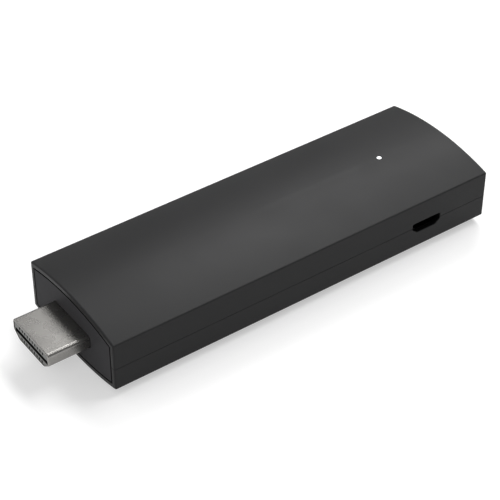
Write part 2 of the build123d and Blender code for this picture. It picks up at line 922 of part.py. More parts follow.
with BuildPart() as reset_plunger:
    flange_face = key_face - plunger_gap
    with Locations((key_x, flange_face, key_z)):
        Box(plunger_width, plunger_flange, plunger_height, align=(Align.CENTER, Align.MAX, Align.CENTER))
    with BuildSketch(long_plane(flange_face)):
        with Locations((key_x, key_z)):
            Circle(stem_radius)
    extrude(amount=-(board_half + stem_reach - flange_face))
    chamfer(reset_plunger.edges().group_by(Axis.Y)[-1], stem_bevel)
    with BuildSketch(long_plane(flange_face - plunger_flange)):
        with Locations((key_x, key_z)):
            Circle(nub_radius)
    extrude(amount=flange_face - plunger_flange - dome_crest - dome_gap)
reset_plunger.part.label = "reset_plunger"

with BuildPart() as reset_dome:
    rim, rise = dome_radius - dome_sheet, dome_rise - dome_sheet
    with BuildSketch(Plane(origin=(key_x, cavity_floor, key_z))):
        with BuildLine():
            Polyline(
                (dome_radius, 0),
                (dome_crown, dome_rise),
                (0, dome_rise),
                (0, rise),
                (dome_crown - dome_sheet / 2, rise),
                (rim, 0),
                close=True,
            )
        make_face()
    revolve(axis=Axis((key_x, cavity_floor, key_z), (0, 1, 0)))
reset_dome.part.label = "reset_dome"

# Small parts: clock crystal on top, inductors and capacitors underneath
with BuildPart() as crystal:
    add(
        chip(
            end_x - crystal_rear,
            crystal_offset,
            board_top,
            crystal_length,
            crystal_width,
            crystal_height,
            chip_bevel,
        )
    )
crystal.part.label = "crystal"

with BuildPart() as power_inductors:
    with Locations((end_x - inductor_rear, 0, board_bottom - inductor_height)):
        with GridLocations(1, inductor_spacing, 1, inductor_count):
            Box(inductor_side, inductor_side, inductor_height, align=standing)
    chamfer(power_inductors.edges().filter_by(Axis.Z), inductor_side / 8)
power_inductors.part.label = "power_inductors"

with BuildPart() as capacitors:
    with Locations((capacitor_x, 0, board_bottom - capacitor_height)):
        with GridLocations(capacitor_spacing, capacitor_spacing, capacitor_columns, capacitor_rows):
            Box(capacitor_length, capacitor_width, capacitor_height, align=standing)
capacitors.part.label = "capacitors"

# Every piece goes to a file of its own, under its own name
os.makedirs("parts", exist_ok=True)
pieces = [
    top_shell,
    bottom_shell,
    front_cap,
    plug_shell,
    plug_contact_carrier,
    plug_contacts_upper,
    plug_contacts_lower,
    plug_rear_cover,
    main_board,
    board_screws,
    processor,
    memory_chips,
    flash_chip,
    shield_frame,
    shield_lid,
    thermal_pad_chip,
    thermal_pad_lid,
    heat_spreader,
    wireless_module,
    wireless_cover,
    aerial_left,
    aerial_right,
    usb_shell,
    usb_tongue,
    usb_contacts,
    status_led,
    light_pipe,
    reset_switch_base,
    reset_switch_cover,
    reset_plunger,
    reset_dome,
    crystal,
    power_inductors,
    capacitors,
]
for piece in pieces:
    export_step(piece.part, f"parts/{piece.part.label}.step")
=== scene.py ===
"""Looks of a streaming stick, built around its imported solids.

The finished scene is in metres, in the solids' own frame: +X runs from the video plug to the far end,
the power port faces -Y, +Z is up and the stick rests on z = 0. Pieces are modelled in millimetres and
brought to metres as their last step.
"""

import json
import logging
import math
from dataclasses import dataclass
from enum import Enum
from typing import Callable, Iterable, Sequence

import bmesh
import bpy
from mathutils import Matrix, Vector


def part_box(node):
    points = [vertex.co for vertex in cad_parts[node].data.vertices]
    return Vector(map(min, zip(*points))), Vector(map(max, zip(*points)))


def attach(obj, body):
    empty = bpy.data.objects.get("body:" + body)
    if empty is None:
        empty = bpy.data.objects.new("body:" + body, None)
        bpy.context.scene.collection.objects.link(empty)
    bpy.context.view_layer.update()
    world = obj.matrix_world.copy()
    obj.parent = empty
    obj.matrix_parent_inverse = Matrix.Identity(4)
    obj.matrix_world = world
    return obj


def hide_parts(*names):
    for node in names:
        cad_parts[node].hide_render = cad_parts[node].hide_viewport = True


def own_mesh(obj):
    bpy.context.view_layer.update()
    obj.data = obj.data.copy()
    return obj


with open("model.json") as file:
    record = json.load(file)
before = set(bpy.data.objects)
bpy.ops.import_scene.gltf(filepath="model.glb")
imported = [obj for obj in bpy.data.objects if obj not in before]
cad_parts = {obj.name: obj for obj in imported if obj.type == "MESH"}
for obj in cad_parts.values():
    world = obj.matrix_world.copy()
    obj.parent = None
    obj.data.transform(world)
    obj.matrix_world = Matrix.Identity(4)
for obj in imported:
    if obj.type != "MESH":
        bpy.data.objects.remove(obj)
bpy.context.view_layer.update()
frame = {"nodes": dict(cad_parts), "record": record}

Point = Sequence[float]
Color = tuple[float, float, float]
Piece = bpy.types.Object

MM = 0.001
BLACK = (0.0, 0.0, 0.0, 1.0)
WHITE = (1.0, 1.0, 1.0, 1.0)

# How near two levels count as one, how closely two directions agree, and the angles of edges.
NEAR = 1e-3
ALIGNED = 0.99
SHARP_DEGREES = 30
SMOOTH_DEGREES = 32

# How far a cutting block reaches past what it cuts, in millimetres.
PAST = 1.0

# Steps round a rod, across a chamfer and across a softened edge.
ROD_SIDES = 48
CHAMFER = 1
SOFTENED = 2

# How many times wider than high the mould's grain and the drawn lines are.
GRAIN_TO_HEIGHT = 8
LINE_TO_HEIGHT = 6

# A Mix node's sockets for colours, by number, since several share one name.
MIX_FACTOR, MIX_LOW, MIX_HIGH, MIX_RESULT = 0, 6, 7, 2

log = logging.getLogger("streaming_stick")


class Body(Enum):
    """The bodies that a piece can ride on."""

    STICK = "stick"
    RESET_KEY = "reset_key"


class Slot(Enum):
    """The record's material slots."""

    HOUSING = "housing"
    END_PLATE = "end_plate"
    PLUG_METAL = "plug_metal"
    CARRIER_PLASTIC = "carrier_plastic"
    CONTACT_METAL = "contact_metal"
    CAN_METAL = "can_metal"
    CIRCUIT_BOARD = "circuit_board"
    CHIP_RESIN = "chip_resin"
    THERMAL_PAD = "thermal_pad"
    SPREADER_METAL = "spreader_metal"
    SCREW_STEEL = "screw_steel"
    PORT_PLASTIC = "port_plastic"
    LIGHT_BODY = "light_body"
    CLEAR_PIPE = "clear_pipe"
    KEY_PLASTIC = "key_plastic"
    CERAMIC = "ceramic"


class Part(Enum):
    """What a selection in edit mode is made of."""

    VERTICES = "VERT"
    EDGES = "EDGE"
    FACES = "FACE"


class Joining(Enum):
    """How a second solid changes the first one."""

    ADD = "UNION"
    CUT = "DIFFERENCE"
    KEEP_COMMON = "INTERSECT"


class Bench:
    """Modelling steps by operators, each on one active mesh, in millimetres."""

    @staticmethod
    def take(piece: Piece) -> None:
        """Make a piece the only selected and the active object.

        Args:
            piece: The piece.
        """
        if bpy.context.mode != "OBJECT":
            bpy.ops.object.mode_set(mode="OBJECT")
        bpy.ops.object.select_all(action="DESELECT")
        piece.select_set(True)
        bpy.context.view_layer.objects.active = piece

    @staticmethod
    def name_new(name: str) -> Piece:
        """Name the object that an operator has just added, and apply its place and size.

        Args:
            name: Its new name.

        Returns:
            The object.
        """
        piece = bpy.context.object
        bpy.ops.object.transform_apply(location=True, rotation=True, scale=True)
        piece.name = piece.data.name = name
        return piece

    @staticmethod
    def block(name: str, low: Point, high: Point) -> Piece:
        """Add a box.

        Args:
            name: The new object's name.
            low: Its lowest corner.
            high: Its highest corner.

        Returns:
            The box.
        """
        bpy.ops.object.select_all(action="DESELECT")
        centre = [(a + b) / 2 for a, b in zip(low, high)]
        bpy.ops.mesh.primitive_cube_add(size=1, location=centre)
        bpy.context.object.scale = [b - a for a, b in zip(low, high)]
        return Bench.name_new(name)

    @staticmethod
    def central(name: str, length: Point, half: float, rise: Point) -> Piece:
        """Add a box that lies across the stick's middle plane.

        Args:
            name: The new object's name.
            length: Its lowest and highest x.
            half: How far it reaches to each side.
            rise: Its lowest and highest z.

        Returns:
            The box.
        """
        return Bench.block(name, (length[0], -half, rise[0]), (length[1], half, rise[1]))

    @staticmethod
    def rod(name: str, start: Point, end: Point, radius: float) -> Piece:
        """Add a round bar.

        Args:
            name: The new object's name.
            start: Middle of one end.
            end: Middle of the other end.
            radius: The bar's radius.

        Returns:
            The bar.
        """
        bpy.ops.object.select_all(action="DESELECT")
        line = Vector(end) - Vector(start)
        bpy.ops.mesh.primitive_cylinder_add(
            vertices=ROD_SIDES,
            radius=radius,
            depth=line.length,
            location=(Vector(start) + Vector(end)) / 2,
            rotation=line.to_track_quat("Z", "Y").to_euler(),
        )
        return Bench.name_new(name)

    @staticmethod
    def select(piece: Piece, part: Part, test: Callable) -> int:
        """Go to edit mode and select what passes a test.

        Args:
            piece: The mesh to edit.
            part: Whether vertices, edges or faces are tested.
            test: Says of one such element whether it is selected.

        Returns:
            How many were selected.
        """
        Bench.take(piece)
        bpy.ops.object.mode_set(mode="EDIT")
        bpy.ops.mesh.select_mode(type=part.value)
        bpy.ops.mesh.select_all(action="DESELECT")
        mesh = bmesh.from_edit_mesh(piece.data)
        elements = {Part.VERTICES: mesh.verts, Part.EDGES: mesh.edges, Part.FACES: mesh.faces}[part]
        chosen = [element for element in elements if test(element)]
        for element in chosen:
            element.select_set(True)
        mesh.select_flush_mode()
        bmesh.update_edit_mesh(piece.data)
        return len(chosen)

    @staticmethod
    def done() -> None:
        """Leave edit mode."""
        bpy.ops.object.mode_set(mode="OBJECT")

    @staticmethod
    def bevel(piece: Piece, test: Callable, width: float, segments: int) -> None:
        """Round the edges that pass a test.

        Args:
            piece: The mesh to change.
            test: Says of an edge whether it is rounded.
            width: The rounding's radius.
            segments: Steps round it.
        """
        if Bench.select(piece, Part.EDGES, test):
            bpy.ops.mesh.bevel(offset=width, segments=segments, affect="EDGES", clamp_overlap=True)
        Bench.done()

    @staticmethod
    def round(piece: Piece, test: Callable, radius: float, segments: int) -> None:
        """Round edges that all turn by the same angle.

        Args:
            piece: The mesh to change.
            test: Says of an edge whether it is rounded.
            radius: The rounding's radius.
            segments: Steps round it.
        """
        if Bench.select(piece, Part.EDGES, test):
            mesh = bmesh.from_edit_mesh(piece.data)
            turn = next(edge.calc_face_angle() for edge in mesh.edges if edge.select)
            bpy.ops.mesh.bevel(offset=radius * math.tan(turn / 2), segments=segments, affect="EDGES")
        Bench.done()

    @staticmethod
    def cut(piece: Piece, point: Point, normal: Point) -> None:
        """Cut a piece along a plane and close it; what lies on the normal's side goes.

        Args:
            piece: The mesh to cut.
            point: A point of the plane.
            normal: The plane's normal.
        """
        Bench.select(piece, Part.FACES, everything)
        bpy.ops.mesh.bisect(plane_co=point, plane_no=normal, use_fill=True, clear_outer=True)
        Bench.done()

    @staticmethod
    def extrude(
        piece: Piece, test: Callable, move: Point, grow: Point = (1, 1, 1), centre: Point = (0, 0, 0)
    ) -> None:
        """Extrude faces, and resize them where they arrive.

        Args:
            piece: The mesh to change.
            test: Says of a face whether it is extruded.
            move: How far the faces travel.
            grow: Their new size as a share of the old one.
            centre: The point that they are resized about.
        """
        Bench.select(piece, Part.FACES, test)
        bpy.ops.mesh.extrude_region_move(TRANSFORM_OT_translate={"value": move})
        bpy.ops.transform.resize(value=grow, center_override=centre)
        Bench.done()

    @staticmethod
    def round_end(piece: Piece, test: Callable, radius: float, steps: int) -> None:
        """Round the outline of an end face outwards: the face moves by the radius and shrinks by it.

        Args:
            piece: The mesh to change.
            test: Says of a face whether it is the end face.
            radius: The rounding's radius.
            steps: Steps round it.
        """
        Bench.select(piece, Part.FACES, test)
        for step in range(steps):
            here, there = (math.pi / 2 * (step + share) / steps for share in (0, 1))
            bpy.ops.mesh.inset(
                thickness=radius * (math.cos(here) - math.cos(there)),
                depth=radius * (math.sin(there) - math.sin(here)),
            )
        Bench.done()

    @staticmethod
    def turned(piece: Piece, centre: Point) -> Piece:
        """Copy a piece and turn the copy half round about an upright line.

        Args:
            piece: What is copied.
            centre: A point of the upright line.

        Returns:
            The copy.
        """
        Bench.take(Bench.copy(piece))
        bpy.ops.transform.rotate(value=math.pi, orient_axis="Z", center_override=centre)
        return Bench.name_new(piece.name)

    @staticmethod
    def join(piece: Piece, tool: Piece, joining: Joining, careful: bool = False) -> Piece:
        """Add a second solid to a piece, cut it away or keep what they share.

        Args:
            piece: The solid that changes.
            tool: The second solid, used up.
            joining: What is done with it.
            careful: Whether the slower way is taken, which keeps close parallel edges joined.

        Returns:
            The changed piece.
        """
        modifier = piece.modifiers.new(joining.name.lower(), "BOOLEAN")
        modifier.operation = joining.value
        modifier.solver = "EXACT"
        modifier.use_self = careful
        modifier.object = tool
        Bench.take(piece)
        bpy.ops.object.modifier_apply(modifier=modifier.name)
        bpy.data.objects.remove(tool)
        return piece

    @staticmethod
    def copy(piece: Piece, offset: Point = (0, 0, 0)) -> Piece:
        """Copy a piece with a mesh of its own.

        Args:
            piece: What is copied.
            offset: How far the copy stands from it.

        Returns:
            The copy.
        """
        Bench.take(piece)
        bpy.ops.object.duplicate()
        bpy.ops.transform.translate(value=offset)
        return Bench.name_new(piece.name)

    @staticmethod
    def gather(pieces: Sequence[Piece], name: str) -> Piece:
        """Put several pieces into one object.

        Args:
            pieces: The pieces, of which the first stays.
            name: The name of what they become.

        Returns:
            The one object.
        """
        Bench.take(pieces[0])
        for piece in pieces[1:]:
            piece.select_set(True)
        bpy.ops.object.join()
        pieces[0].name = pieces[0].data.name = name
        return pieces[0]

    @staticmethod
    def tidy(piece: Piece, near: float = 1e-4) -> None:
        """Merge doubled points and turn all faces outwards.

        Args:
            piece: The mesh to change.
            near: Points nearer than this are merged.
        """
        Bench.select(piece, Part.VERTICES, everything)
        bpy.ops.mesh.remove_doubles(threshold=near)
        bpy.ops.mesh.normals_make_consistent(inside=False)
        Bench.done()

    @staticmethod
    def deliver(piece: Piece) -> None:
        """Finish a piece: clean mesh, smooth shading with flat faces kept flat, size in metres.

        Args:
            piece: The piece, in millimetres.
        """
        Bench.tidy(piece)
        Bench.take(piece)
        bpy.ops.object.shade_smooth_by_angle(angle=math.radians(SMOOTH_DEGREES))
        piece.scale = (MM, MM, MM)
        bpy.ops.object.transform_apply(location=True, rotation=True, scale=True)
        modifier = piece.modifiers.new("flat_faces", "WEIGHTED_NORMAL")
        modifier.keep_sharp = True
        bpy.ops.object.modifier_apply(modifier=modifier.name)


def everything(element: object) -> bool:
    """A test that everything passes."""
    return True


def sharp(edge: bmesh.types.BMEdge) -> bool:
    """Whether two faces meet at an edge at a plain angle."""
    return edge.is_manifold and edge.calc_face_angle() > math.radians(SHARP_DEGREES)


def along(edge: bmesh.types.BMEdge, axis: int) -> bool:
    """Whether an edge runs along an axis, given by its number."""
    line = edge.verts[1].co - edge.verts[0].co
    return abs(line[axis]) > ALIGNED * line.length


def facing(*normal: float) -> Callable:
    """A test for faces that look this way."""
    return lambda face: face.normal.dot(Vector(normal)) > ALIGNED


def middle(edge: bmesh.types.BMEdge) -> Vector:
    """The middle of an edge."""
    return (edge.verts[0].co + edge.verts[1].co) / 2


def lies_at(edge: bmesh.types.BMEdge, axis: int, level: float) -> bool:
    """Whether the middle of an edge lies at a level of an axis, given by its number."""
    return abs(middle(edge)[axis] - level) < NEAR


def rim(axis: int, level: float) -> Callable:
    """A test for sharp edges at a level of an axis, given by its number."""
    return lambda edge: lies_at(edge, axis, level) and sharp(edge)


def in_millimetres(node: str) -> tuple[Vector, Vector]:
    """A solid's lowest and highest corner, in millimetres."""
    low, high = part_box(node)
    return low / MM, high / MM


def centre_of(node: str) -> tuple[float, ...]:
    """The middle of a solid's box, in millimetres."""
    return tuple((a + b) / 2 for a, b in zip(*in_millimetres(node)))


@dataclass(frozen=True)
class Stick:
    """Main sizes of the whole stick in millimetres, most of them read from the solids."""

    rim_x: float
    end_x: float
    side_y: float
    height: float
    axis_z: float
    side_height: float = 11.6
    edge_radius: float = 0.4
    wall: float = 1.1
    crown_steps: int = 48
    crown_merge: float = 2e-3

    @classmethod
    def measure(cls) -> "Stick":
        """Read the sizes from the boxes of the lower shell, the light pipe and the plug.

        Returns:
            The sizes.
        """
        low, high = in_millimetres("bottom_shell")
        return cls(
            rim_x=low.x,
            end_x=high.x,
            side_y=high.y,
            height=in_millimetres("light_pipe")[1].z,
            axis_z=centre_of("plug_shell")[2],
        )

    @property
    def crown_radius(self) -> float:
        """Radius of the top and bottom crowns."""
        rise = (self.height - self.side_height) / 2
        return (self.side_y**2 + rise**2) / (2 * rise)

    def crown_z(self, y: float, inset: float = 0.0) -> float:
        """Height of the top crown at y, on a surface this far inside the outer one."""
        return self.height - self.crown_radius + math.sqrt((self.crown_radius - inset) ** 2 - y**2)

    def crowned_block(self, name: str, front: float, back: float, inset: float = 0.0) -> Piece:
        """Make a closed block with the stick's cross-section.

        Args:
            name: The new object's name.
            front: Its lowest x.
            back: Its highest x.
            inset: How far it lies inside the outer surface.

        Returns:
            The block, with sharp edges.
        """
        half = self.side_y - inset
        high = self.crown_z(half, inset)
        low = self.height - high
        sweep = 2 * math.asin(half / (self.crown_radius - inset))
        piece = Bench.central(name, (front, back), half, (low, high))
        Bench.select(piece, Part.FACES, lambda face: abs(face.normal.y) < ALIGNED)
        bpy.ops.mesh.delete(type="FACE")
        crowns = ((high, self.height - self.crown_radius, sweep), (low, self.crown_radius, -sweep))
        for level, centre_z, turn in crowns:
            Bench.select(piece, Part.EDGES, lambda edge: lies_at(edge, 2, level) and lies_at(edge, 1, -half))
            bpy.ops.mesh.spin(steps=self.crown_steps, angle=turn, center=(0, 0, centre_z), axis=(1, 0, 0))
        Bench.tidy(piece, self.crown_merge)
        for end in (front, back):
            Bench.select(piece, Part.EDGES, lambda edge: lies_at(edge, 0, end))
            bpy.ops.mesh.edge_face_add()
        Bench.tidy(piece)
        return piece


class Graph:
    """A node tree under construction."""

    def __init__(self, tree: bpy.types.NodeTree) -> None:
        """Start on an emptied tree."""
        self.tree = tree
        tree.nodes.clear()

    def feed(self, node: bpy.types.Node, inputs: dict) -> bpy.types.Node:
        """Give a node's inputs values or sockets.

        Args:
            node: The node.
            inputs: A value or a socket for each, by input name or number.

        Returns:
            The node.
        """
        for name, value in inputs.items():
            if isinstance(value, bpy.types.NodeSocket):
                self.tree.links.new(value, node.inputs[name])
            else:
                node.inputs[name].default_value = value
        return node

    def add(self, kind: str, inputs: dict | None = None, **settings: object) -> bpy.types.Node:
        """Add a node.

        Args:
            kind: The node's type name.
            inputs: Values or sockets for its inputs, by input name or number.
            settings: The node's own settings.

        Returns:
            The node.
        """
        node = self.tree.nodes.new(kind)
        for name, value in settings.items():
            setattr(node, name, value)
        return self.feed(node, inputs or {})

    def effect(self, group: bpy.types.NodeTree, size: float | None = None) -> bpy.types.bpy_prop_collection:
        """Place a shared effect.

        Args:
            group: The effect's node group.
            size: A size in metres in place of its usual one.

        Returns:
            Its outputs.
        """
        return self.add("ShaderNodeGroup", {"Size": size} if size else None, node_tree=group).outputs

    def place(self) -> bpy.types.NodeSocket:
        """Add the place on the piece, in metres, and return it."""
        return self.add("ShaderNodeTexCoord").outputs["Object"]

    def math(self, operation: str, *values: object) -> bpy.types.NodeSocket:
        """Add a Math node over sockets or numbers, and return its output."""
        return self.add("ShaderNodeMath", dict(enumerate(values)), operation=operation).outputs[0]

    def clamp(self, value: bpy.types.NodeSocket) -> bpy.types.NodeSocket:
        """Keep a value between 0 and 1, and return it."""
        return self.add("ShaderNodeClamp", {"Value": value}).outputs[0]

    def blend(self, factor: object, low: object, high: object) -> bpy.types.NodeSocket:
        """Mix two colours, and return the mixed one."""
        inputs = {MIX_FACTOR: factor, MIX_LOW: low, MIX_HIGH: high}
        return self.add("ShaderNodeMix", inputs, data_type="RGBA").outputs[MIX_RESULT]

    def relief(self, height: object, strength: float, distance: float) -> bpy.types.NodeSocket:
        """Turn a height into a bumped normal, and return it."""
        bump = {"Height": height, "Strength": strength, "Distance": distance}
        return self.add("ShaderNodeBump", bump).outputs["Normal"]


class Effects:
    """Node groups for effects that several finishes share."""

    def __init__(self) -> None:
        """Build each group once."""
        self.grain = self._grain()
        self.smudges = self._smudges()
        self.drawn = self._drawn()
        self.rubbed = self._rubbed()

    @staticmethod
    def _new(name: str, inputs: dict[str, float], outputs: Iterable[str]) -> tuple:
        """Make an empty group.

        Args:
            name: The group's name.
            inputs: Its inputs with their usual values.
            outputs: Its outputs.

        Returns:
            The group, its graph, its inputs' sockets and its output node.
        """
        group = bpy.data.node_groups.new(name, "ShaderNodeTree")
        for label, value in inputs.items():
            socket = group.interface.new_socket(label, in_out="INPUT", socket_type="NodeSocketFloat")
            socket.default_value = value
        for label in outputs:
            group.interface.new_socket(label, in_out="OUTPUT", socket_type="NodeSocketFloat")
        graph = Graph(group)
        return group, graph, graph.add("NodeGroupInput").outputs, graph.add("NodeGroupOutput")

    def _grain(self) -> bpy.types.NodeTree:
        """Spark-eroded mould grain: fine pits of two sizes, and the tone that goes with them.

        Returns:
            The effect's node group.
        """
        group, graph, given, end = self._new("mould_grain", {"Size": 0.0002}, ("Height", "Tone"))
        pit_share, pit_depth, mid_tone = 0.6, 0.4, 0.5
        place = graph.place()
        scale = graph.math("DIVIDE", 1.0, given["Size"])
        noise = {"Vector": place, "Scale": scale, "Detail": 3.0}
        fine = graph.add("ShaderNodeTexNoise", noise).outputs["Fac"]
        cells = {"Vector": place, "Scale": graph.math("MULTIPLY", scale, pit_share), "Randomness": 1.0}
        pits = graph.add("ShaderNodeTexVoronoi", cells).outputs["Distance"]
        height = graph.math("MULTIPLY_ADD", pits, pit_depth, fine)
        graph.feed(end, {"Height": height, "Tone": graph.math("SUBTRACT", fine, mid_tone)})
        return group

    def _smudges(self) -> bpy.types.NodeTree:
        """Broad soft patches, between 0 and 1.

        Returns:
            The effect's node group.
        """
        group, graph, given, end = self._new("soft_patches", {"Size": 0.02}, ("Patches",))
        scale = graph.math("DIVIDE", 1.0, given["Size"])
        clouds = {"Vector": graph.place(), "Scale": scale, "Detail": 2.0, "Distortion": 0.4}
        noise = graph.add("ShaderNodeTexNoise", clouds).outputs["Fac"]
        limits = {"Value": noise, "From Min": 0.3, "From Max": 0.7}
        ramp = graph.add("ShaderNodeMapRange", limits, interpolation_type="SMOOTHSTEP")
        graph.feed(end, {"Patches": ramp.outputs["Result"]})
        return group

    def _drawn(self) -> bpy.types.NodeTree:
        """Faint lines along X, as rolled and folded sheet has them.

        Returns:
            The effect's node group.
        """
        group, graph, given, end = self._new("drawn_lines", {"Size": 0.0001}, ("Height",))
        stretch = graph.add("ShaderNodeMapping", {"Vector": graph.place(), "Scale": (0.04, 1.0, 1.0)})
        scale = graph.math("DIVIDE", 1.0, given["Size"])
        noise = {"Vector": stretch.outputs["Vector"], "Scale": scale, "Detail": 4.0}
        lines = graph.add("ShaderNodeTexNoise", noise)
        graph.feed(end, {"Height": lines.outputs["Fac"]})
        return group

    def _rubbed(self) -> bpy.types.NodeTree:
        """Where edges are polished by handling: a mask that is 1 on the sharpest ridges.

        Returns:
            The effect's node group.
        """
        group, graph, given, end = self._new("rubbed_edges", {"Reach": 0.06}, ("Mask",))
        ridge = graph.add("ShaderNodeNewGeometry").outputs["Pointiness"]
        flat, patch_size = 0.52, 0.006
        patches = graph.effect(self.smudges, patch_size)["Patches"]
        limit = graph.math("ADD", flat, given["Reach"])
        rise = graph.add("ShaderNodeMapRange", {"Value": ridge, "From Min": flat, "From Max": limit})
        graph.feed(end, {"Mask": graph.math("MULTIPLY", rise.outputs["Result"], patches)})
        return group


class Surface(Graph):
    """A material under construction: its node tree, its shader and the shared effects."""

    def __init__(self, material: bpy.types.Material, effects: Effects) -> None:
        """Start with the shader and the output.

        Args:
            material: The new material.
            effects: The shared node groups.
        """
        super().__init__(material.node_tree)
        self.effects = effects
        self.shader = self.add("ShaderNodeBsdfPrincipled")
        output = self.add("ShaderNodeOutputMaterial", {"Surface": self.shader.outputs["BSDF"]})
        output.is_active_output = True

    def wear(self, inputs: dict) -> None:
        """Give the shader's inputs values or sockets, by name."""
        self.feed(self.shader, inputs)

    def worn(self, name: str) -> bpy.types.NodeSocket:
        """The socket that feeds an input of the shader so far."""
        return self.shader.inputs[name].links[0].from_socket


@dataclass(frozen=True)
class Finish:
    """A surface's colour and gloss, the base of every other finish."""

    name: str
    color: Color
    roughness: float

    def surface(self, effects: Effects) -> bpy.types.Material:
        """Make the material.

        Args:
            effects: The shared node groups.

        Returns:
            The material, ready to assign.
        """
        material = bpy.data.materials.new(self.name)
        material.use_nodes = True
        material.diffuse_color = (*self.color, 1.0)
        self.dress(Surface(material, effects))
        return material

    def dress(self, surface: Surface) -> None:
        """Wire up the shader; each finish does this its own way.

        Args:
            surface: The material under construction.
        """
        raise NotImplementedError

    def tinted(self, share: float) -> tuple[float, float, float, float]:
        """The colour made lighter or darker by a share."""
        return (*(min(1.0, channel * share) for channel in self.color), 1.0)

    def varied(self, surface: Surface, mask: bpy.types.NodeSocket, spread: float, gloss: float) -> None:
        """Let colour and roughness change a little over the surface.

        Args:
            surface: The material under construction.
            mask: Where the surface is lighter and rougher, from 0 to 1.
            spread: Share by which the colour changes each way.
            gloss: How far the roughness changes each way.
        """
        color = surface.blend(mask, self.tinted(1 - spread), self.tinted(1 + spread))
        rough = surface.math("MULTIPLY_ADD", mask, 2 * gloss, self.roughness - gloss)
        surface.wear({"Base Color": color, "Roughness": rough})


@dataclass(frozen=True)
class MouldedPlastic(Finish):
    """Injection-moulded plastic with the mould's grain and faintly uneven gloss."""

    specular: float = 0.5
    index: float = 1.5
    grain_size: float = 0.0002
    grain_depth: float = 0.25
    grain_tone: float = 1.2
    spread: float = 0.05
    gloss: float = 0.03
    edge_gloss: float = 0.0

    def dress(self, surface: Surface) -> None:
        """Grain in the bump and the tone, soft patches in the roughness, edges a little polished.

        Args:
            surface: The material under construction.
        """
        grain = surface.effect(surface.effects.grain, self.grain_size)
        patches = surface.effect(surface.effects.smudges)["Patches"]
        normal = surface.relief(grain["Height"], self.grain_depth, self.grain_size / GRAIN_TO_HEIGHT)
        surface.wear({"Normal": normal, "Specular IOR Level": self.specular, "IOR": self.index})
        mask = surface.clamp(surface.math("MULTIPLY_ADD", grain["Tone"], self.grain_tone, patches))
        self.varied(surface, mask, self.spread, self.gloss)
        if self.edge_gloss:
            rubbed = surface.effect(surface.effects.rubbed)["Mask"]
            rough = surface.worn("Roughness")
            surface.wear({"Roughness": surface.math("MULTIPLY_ADD", rubbed, -self.edge_gloss, rough)})


@dataclass(frozen=True)
class ShadePaintedPlastic(MouldedPlastic):
    """Moulded plastic with painted shade: it is black within one box, so that gaps and slots there look
    deep.
    """

    low: Point = (-1.0, -1.0, -1.0)
    high: Point = (1.0, 1.0, 1.0)
    # The painted shade's near-black colour.
    inner: Color = (0.002, 0.002, 0.002)

    def dress(self, surface: Surface) -> None:
        """The moulded look, with the inner colour, a painted shade, between the box's corners.

        Args:
            surface: The material under construction.
        """
        super().dress(surface)
        # Painted shade: the mask is 1 inside the box, where the near-black colour replaces the surface's
        # own.
        parts = surface.add("ShaderNodeSeparateXYZ", {"Vector": surface.place()}).outputs
        inside = None
        for part, low, high in zip(parts, self.low, self.high):
            above, below = surface.math("GREATER_THAN", part, low), surface.math("LESS_THAN", part, high)
            between = surface.math("MULTIPLY", above, below)
            inside = surface.math("MULTIPLY", inside, between) if inside else between
        outer = surface.worn("Base Color")
        surface.wear({"Base Color": surface.blend(inside, outer, (*self.inner, 1.0))})


@dataclass(frozen=True)
class SheetMetal(Finish):
    """Plated or plain metal with faint drawing lines and polished ridges."""

    line_size: float = 0.0001
    line_depth: float = 0.15
    patch_size: float = 0.004
    ridge_share: float = 0.5
    spread: float = 0.06
    gloss: float = 0.04

    def dress(self, surface: Surface) -> None:
        """Lines in the bump, patches in tone and roughness.

        Args:
            surface: The material under construction.
        """
        lines = surface.effect(surface.effects.drawn, self.line_size)
        normal = surface.relief(lines["Height"], self.line_depth, self.line_size / LINE_TO_HEIGHT)
        surface.wear({"Metallic": 1.0, "Normal": normal})
        patches = surface.effect(surface.effects.smudges, self.patch_size)["Patches"]
        rubbed = surface.effect(surface.effects.rubbed)["Mask"]
        mask = surface.clamp(surface.math("MULTIPLY_ADD", rubbed, self.ridge_share, patches))
        self.varied(surface, mask, self.spread, self.gloss)


@dataclass(frozen=True)
class SolderMask(Finish):
    """Circuit board: tinted varnish over copper tracks."""

    track_size: float = 0.0012
    track_lift: float = 1.6
    track_depth: float = 0.3
    track_height: float = 0.00003

    def dress(self, surface: Surface) -> None:
        """Tracks as lighter, slightly raised runs under a glossy varnish.

        Args:
            surface: The material under construction.
        """
        pattern = {
            "Vector": surface.place(),
            "Color1": BLACK,
            "Color2": WHITE,
            "Mortar": BLACK,
            "Scale": 1 / self.track_size,
            "Mortar Size": 0.12,
            "Brick Width": 3.7,
            "Row Height": 0.5,
        }
        tracks = surface.add("ShaderNodeTexBrick", pattern).outputs["Color"]
        look = {
            "Base Color": surface.blend(tracks, self.tinted(1.0), self.tinted(self.track_lift)),
            "Normal": surface.relief(tracks, self.track_depth, self.track_height),
            "Roughness": self.roughness,
            "Coat Weight": 0.5,
            "Coat Roughness": 0.15,
        }
        surface.wear(look)


@dataclass(frozen=True)
class ClearPlastic(Finish):
    """Clear light guide, lit from below."""

    glow: float = 0.9
    cool_light: Color = (0.93, 0.96, 1.0)
    patch_size: float = 0.001
    spread: float = 0.03
    gloss: float = 0.05

    def dress(self, surface: Surface) -> None:
        """A soft glow with the guide's faint flow marks.

        Args:
            surface: The material under construction.
        """
        patches = surface.effect(surface.effects.smudges, self.patch_size)["Patches"]
        self.varied(surface, patches, self.spread, self.gloss)
        lit = surface.blend(patches, (*self.cool_light, 1.0), WHITE)
        surface.wear({"Emission Color": lit, "Emission Strength": self.glow})


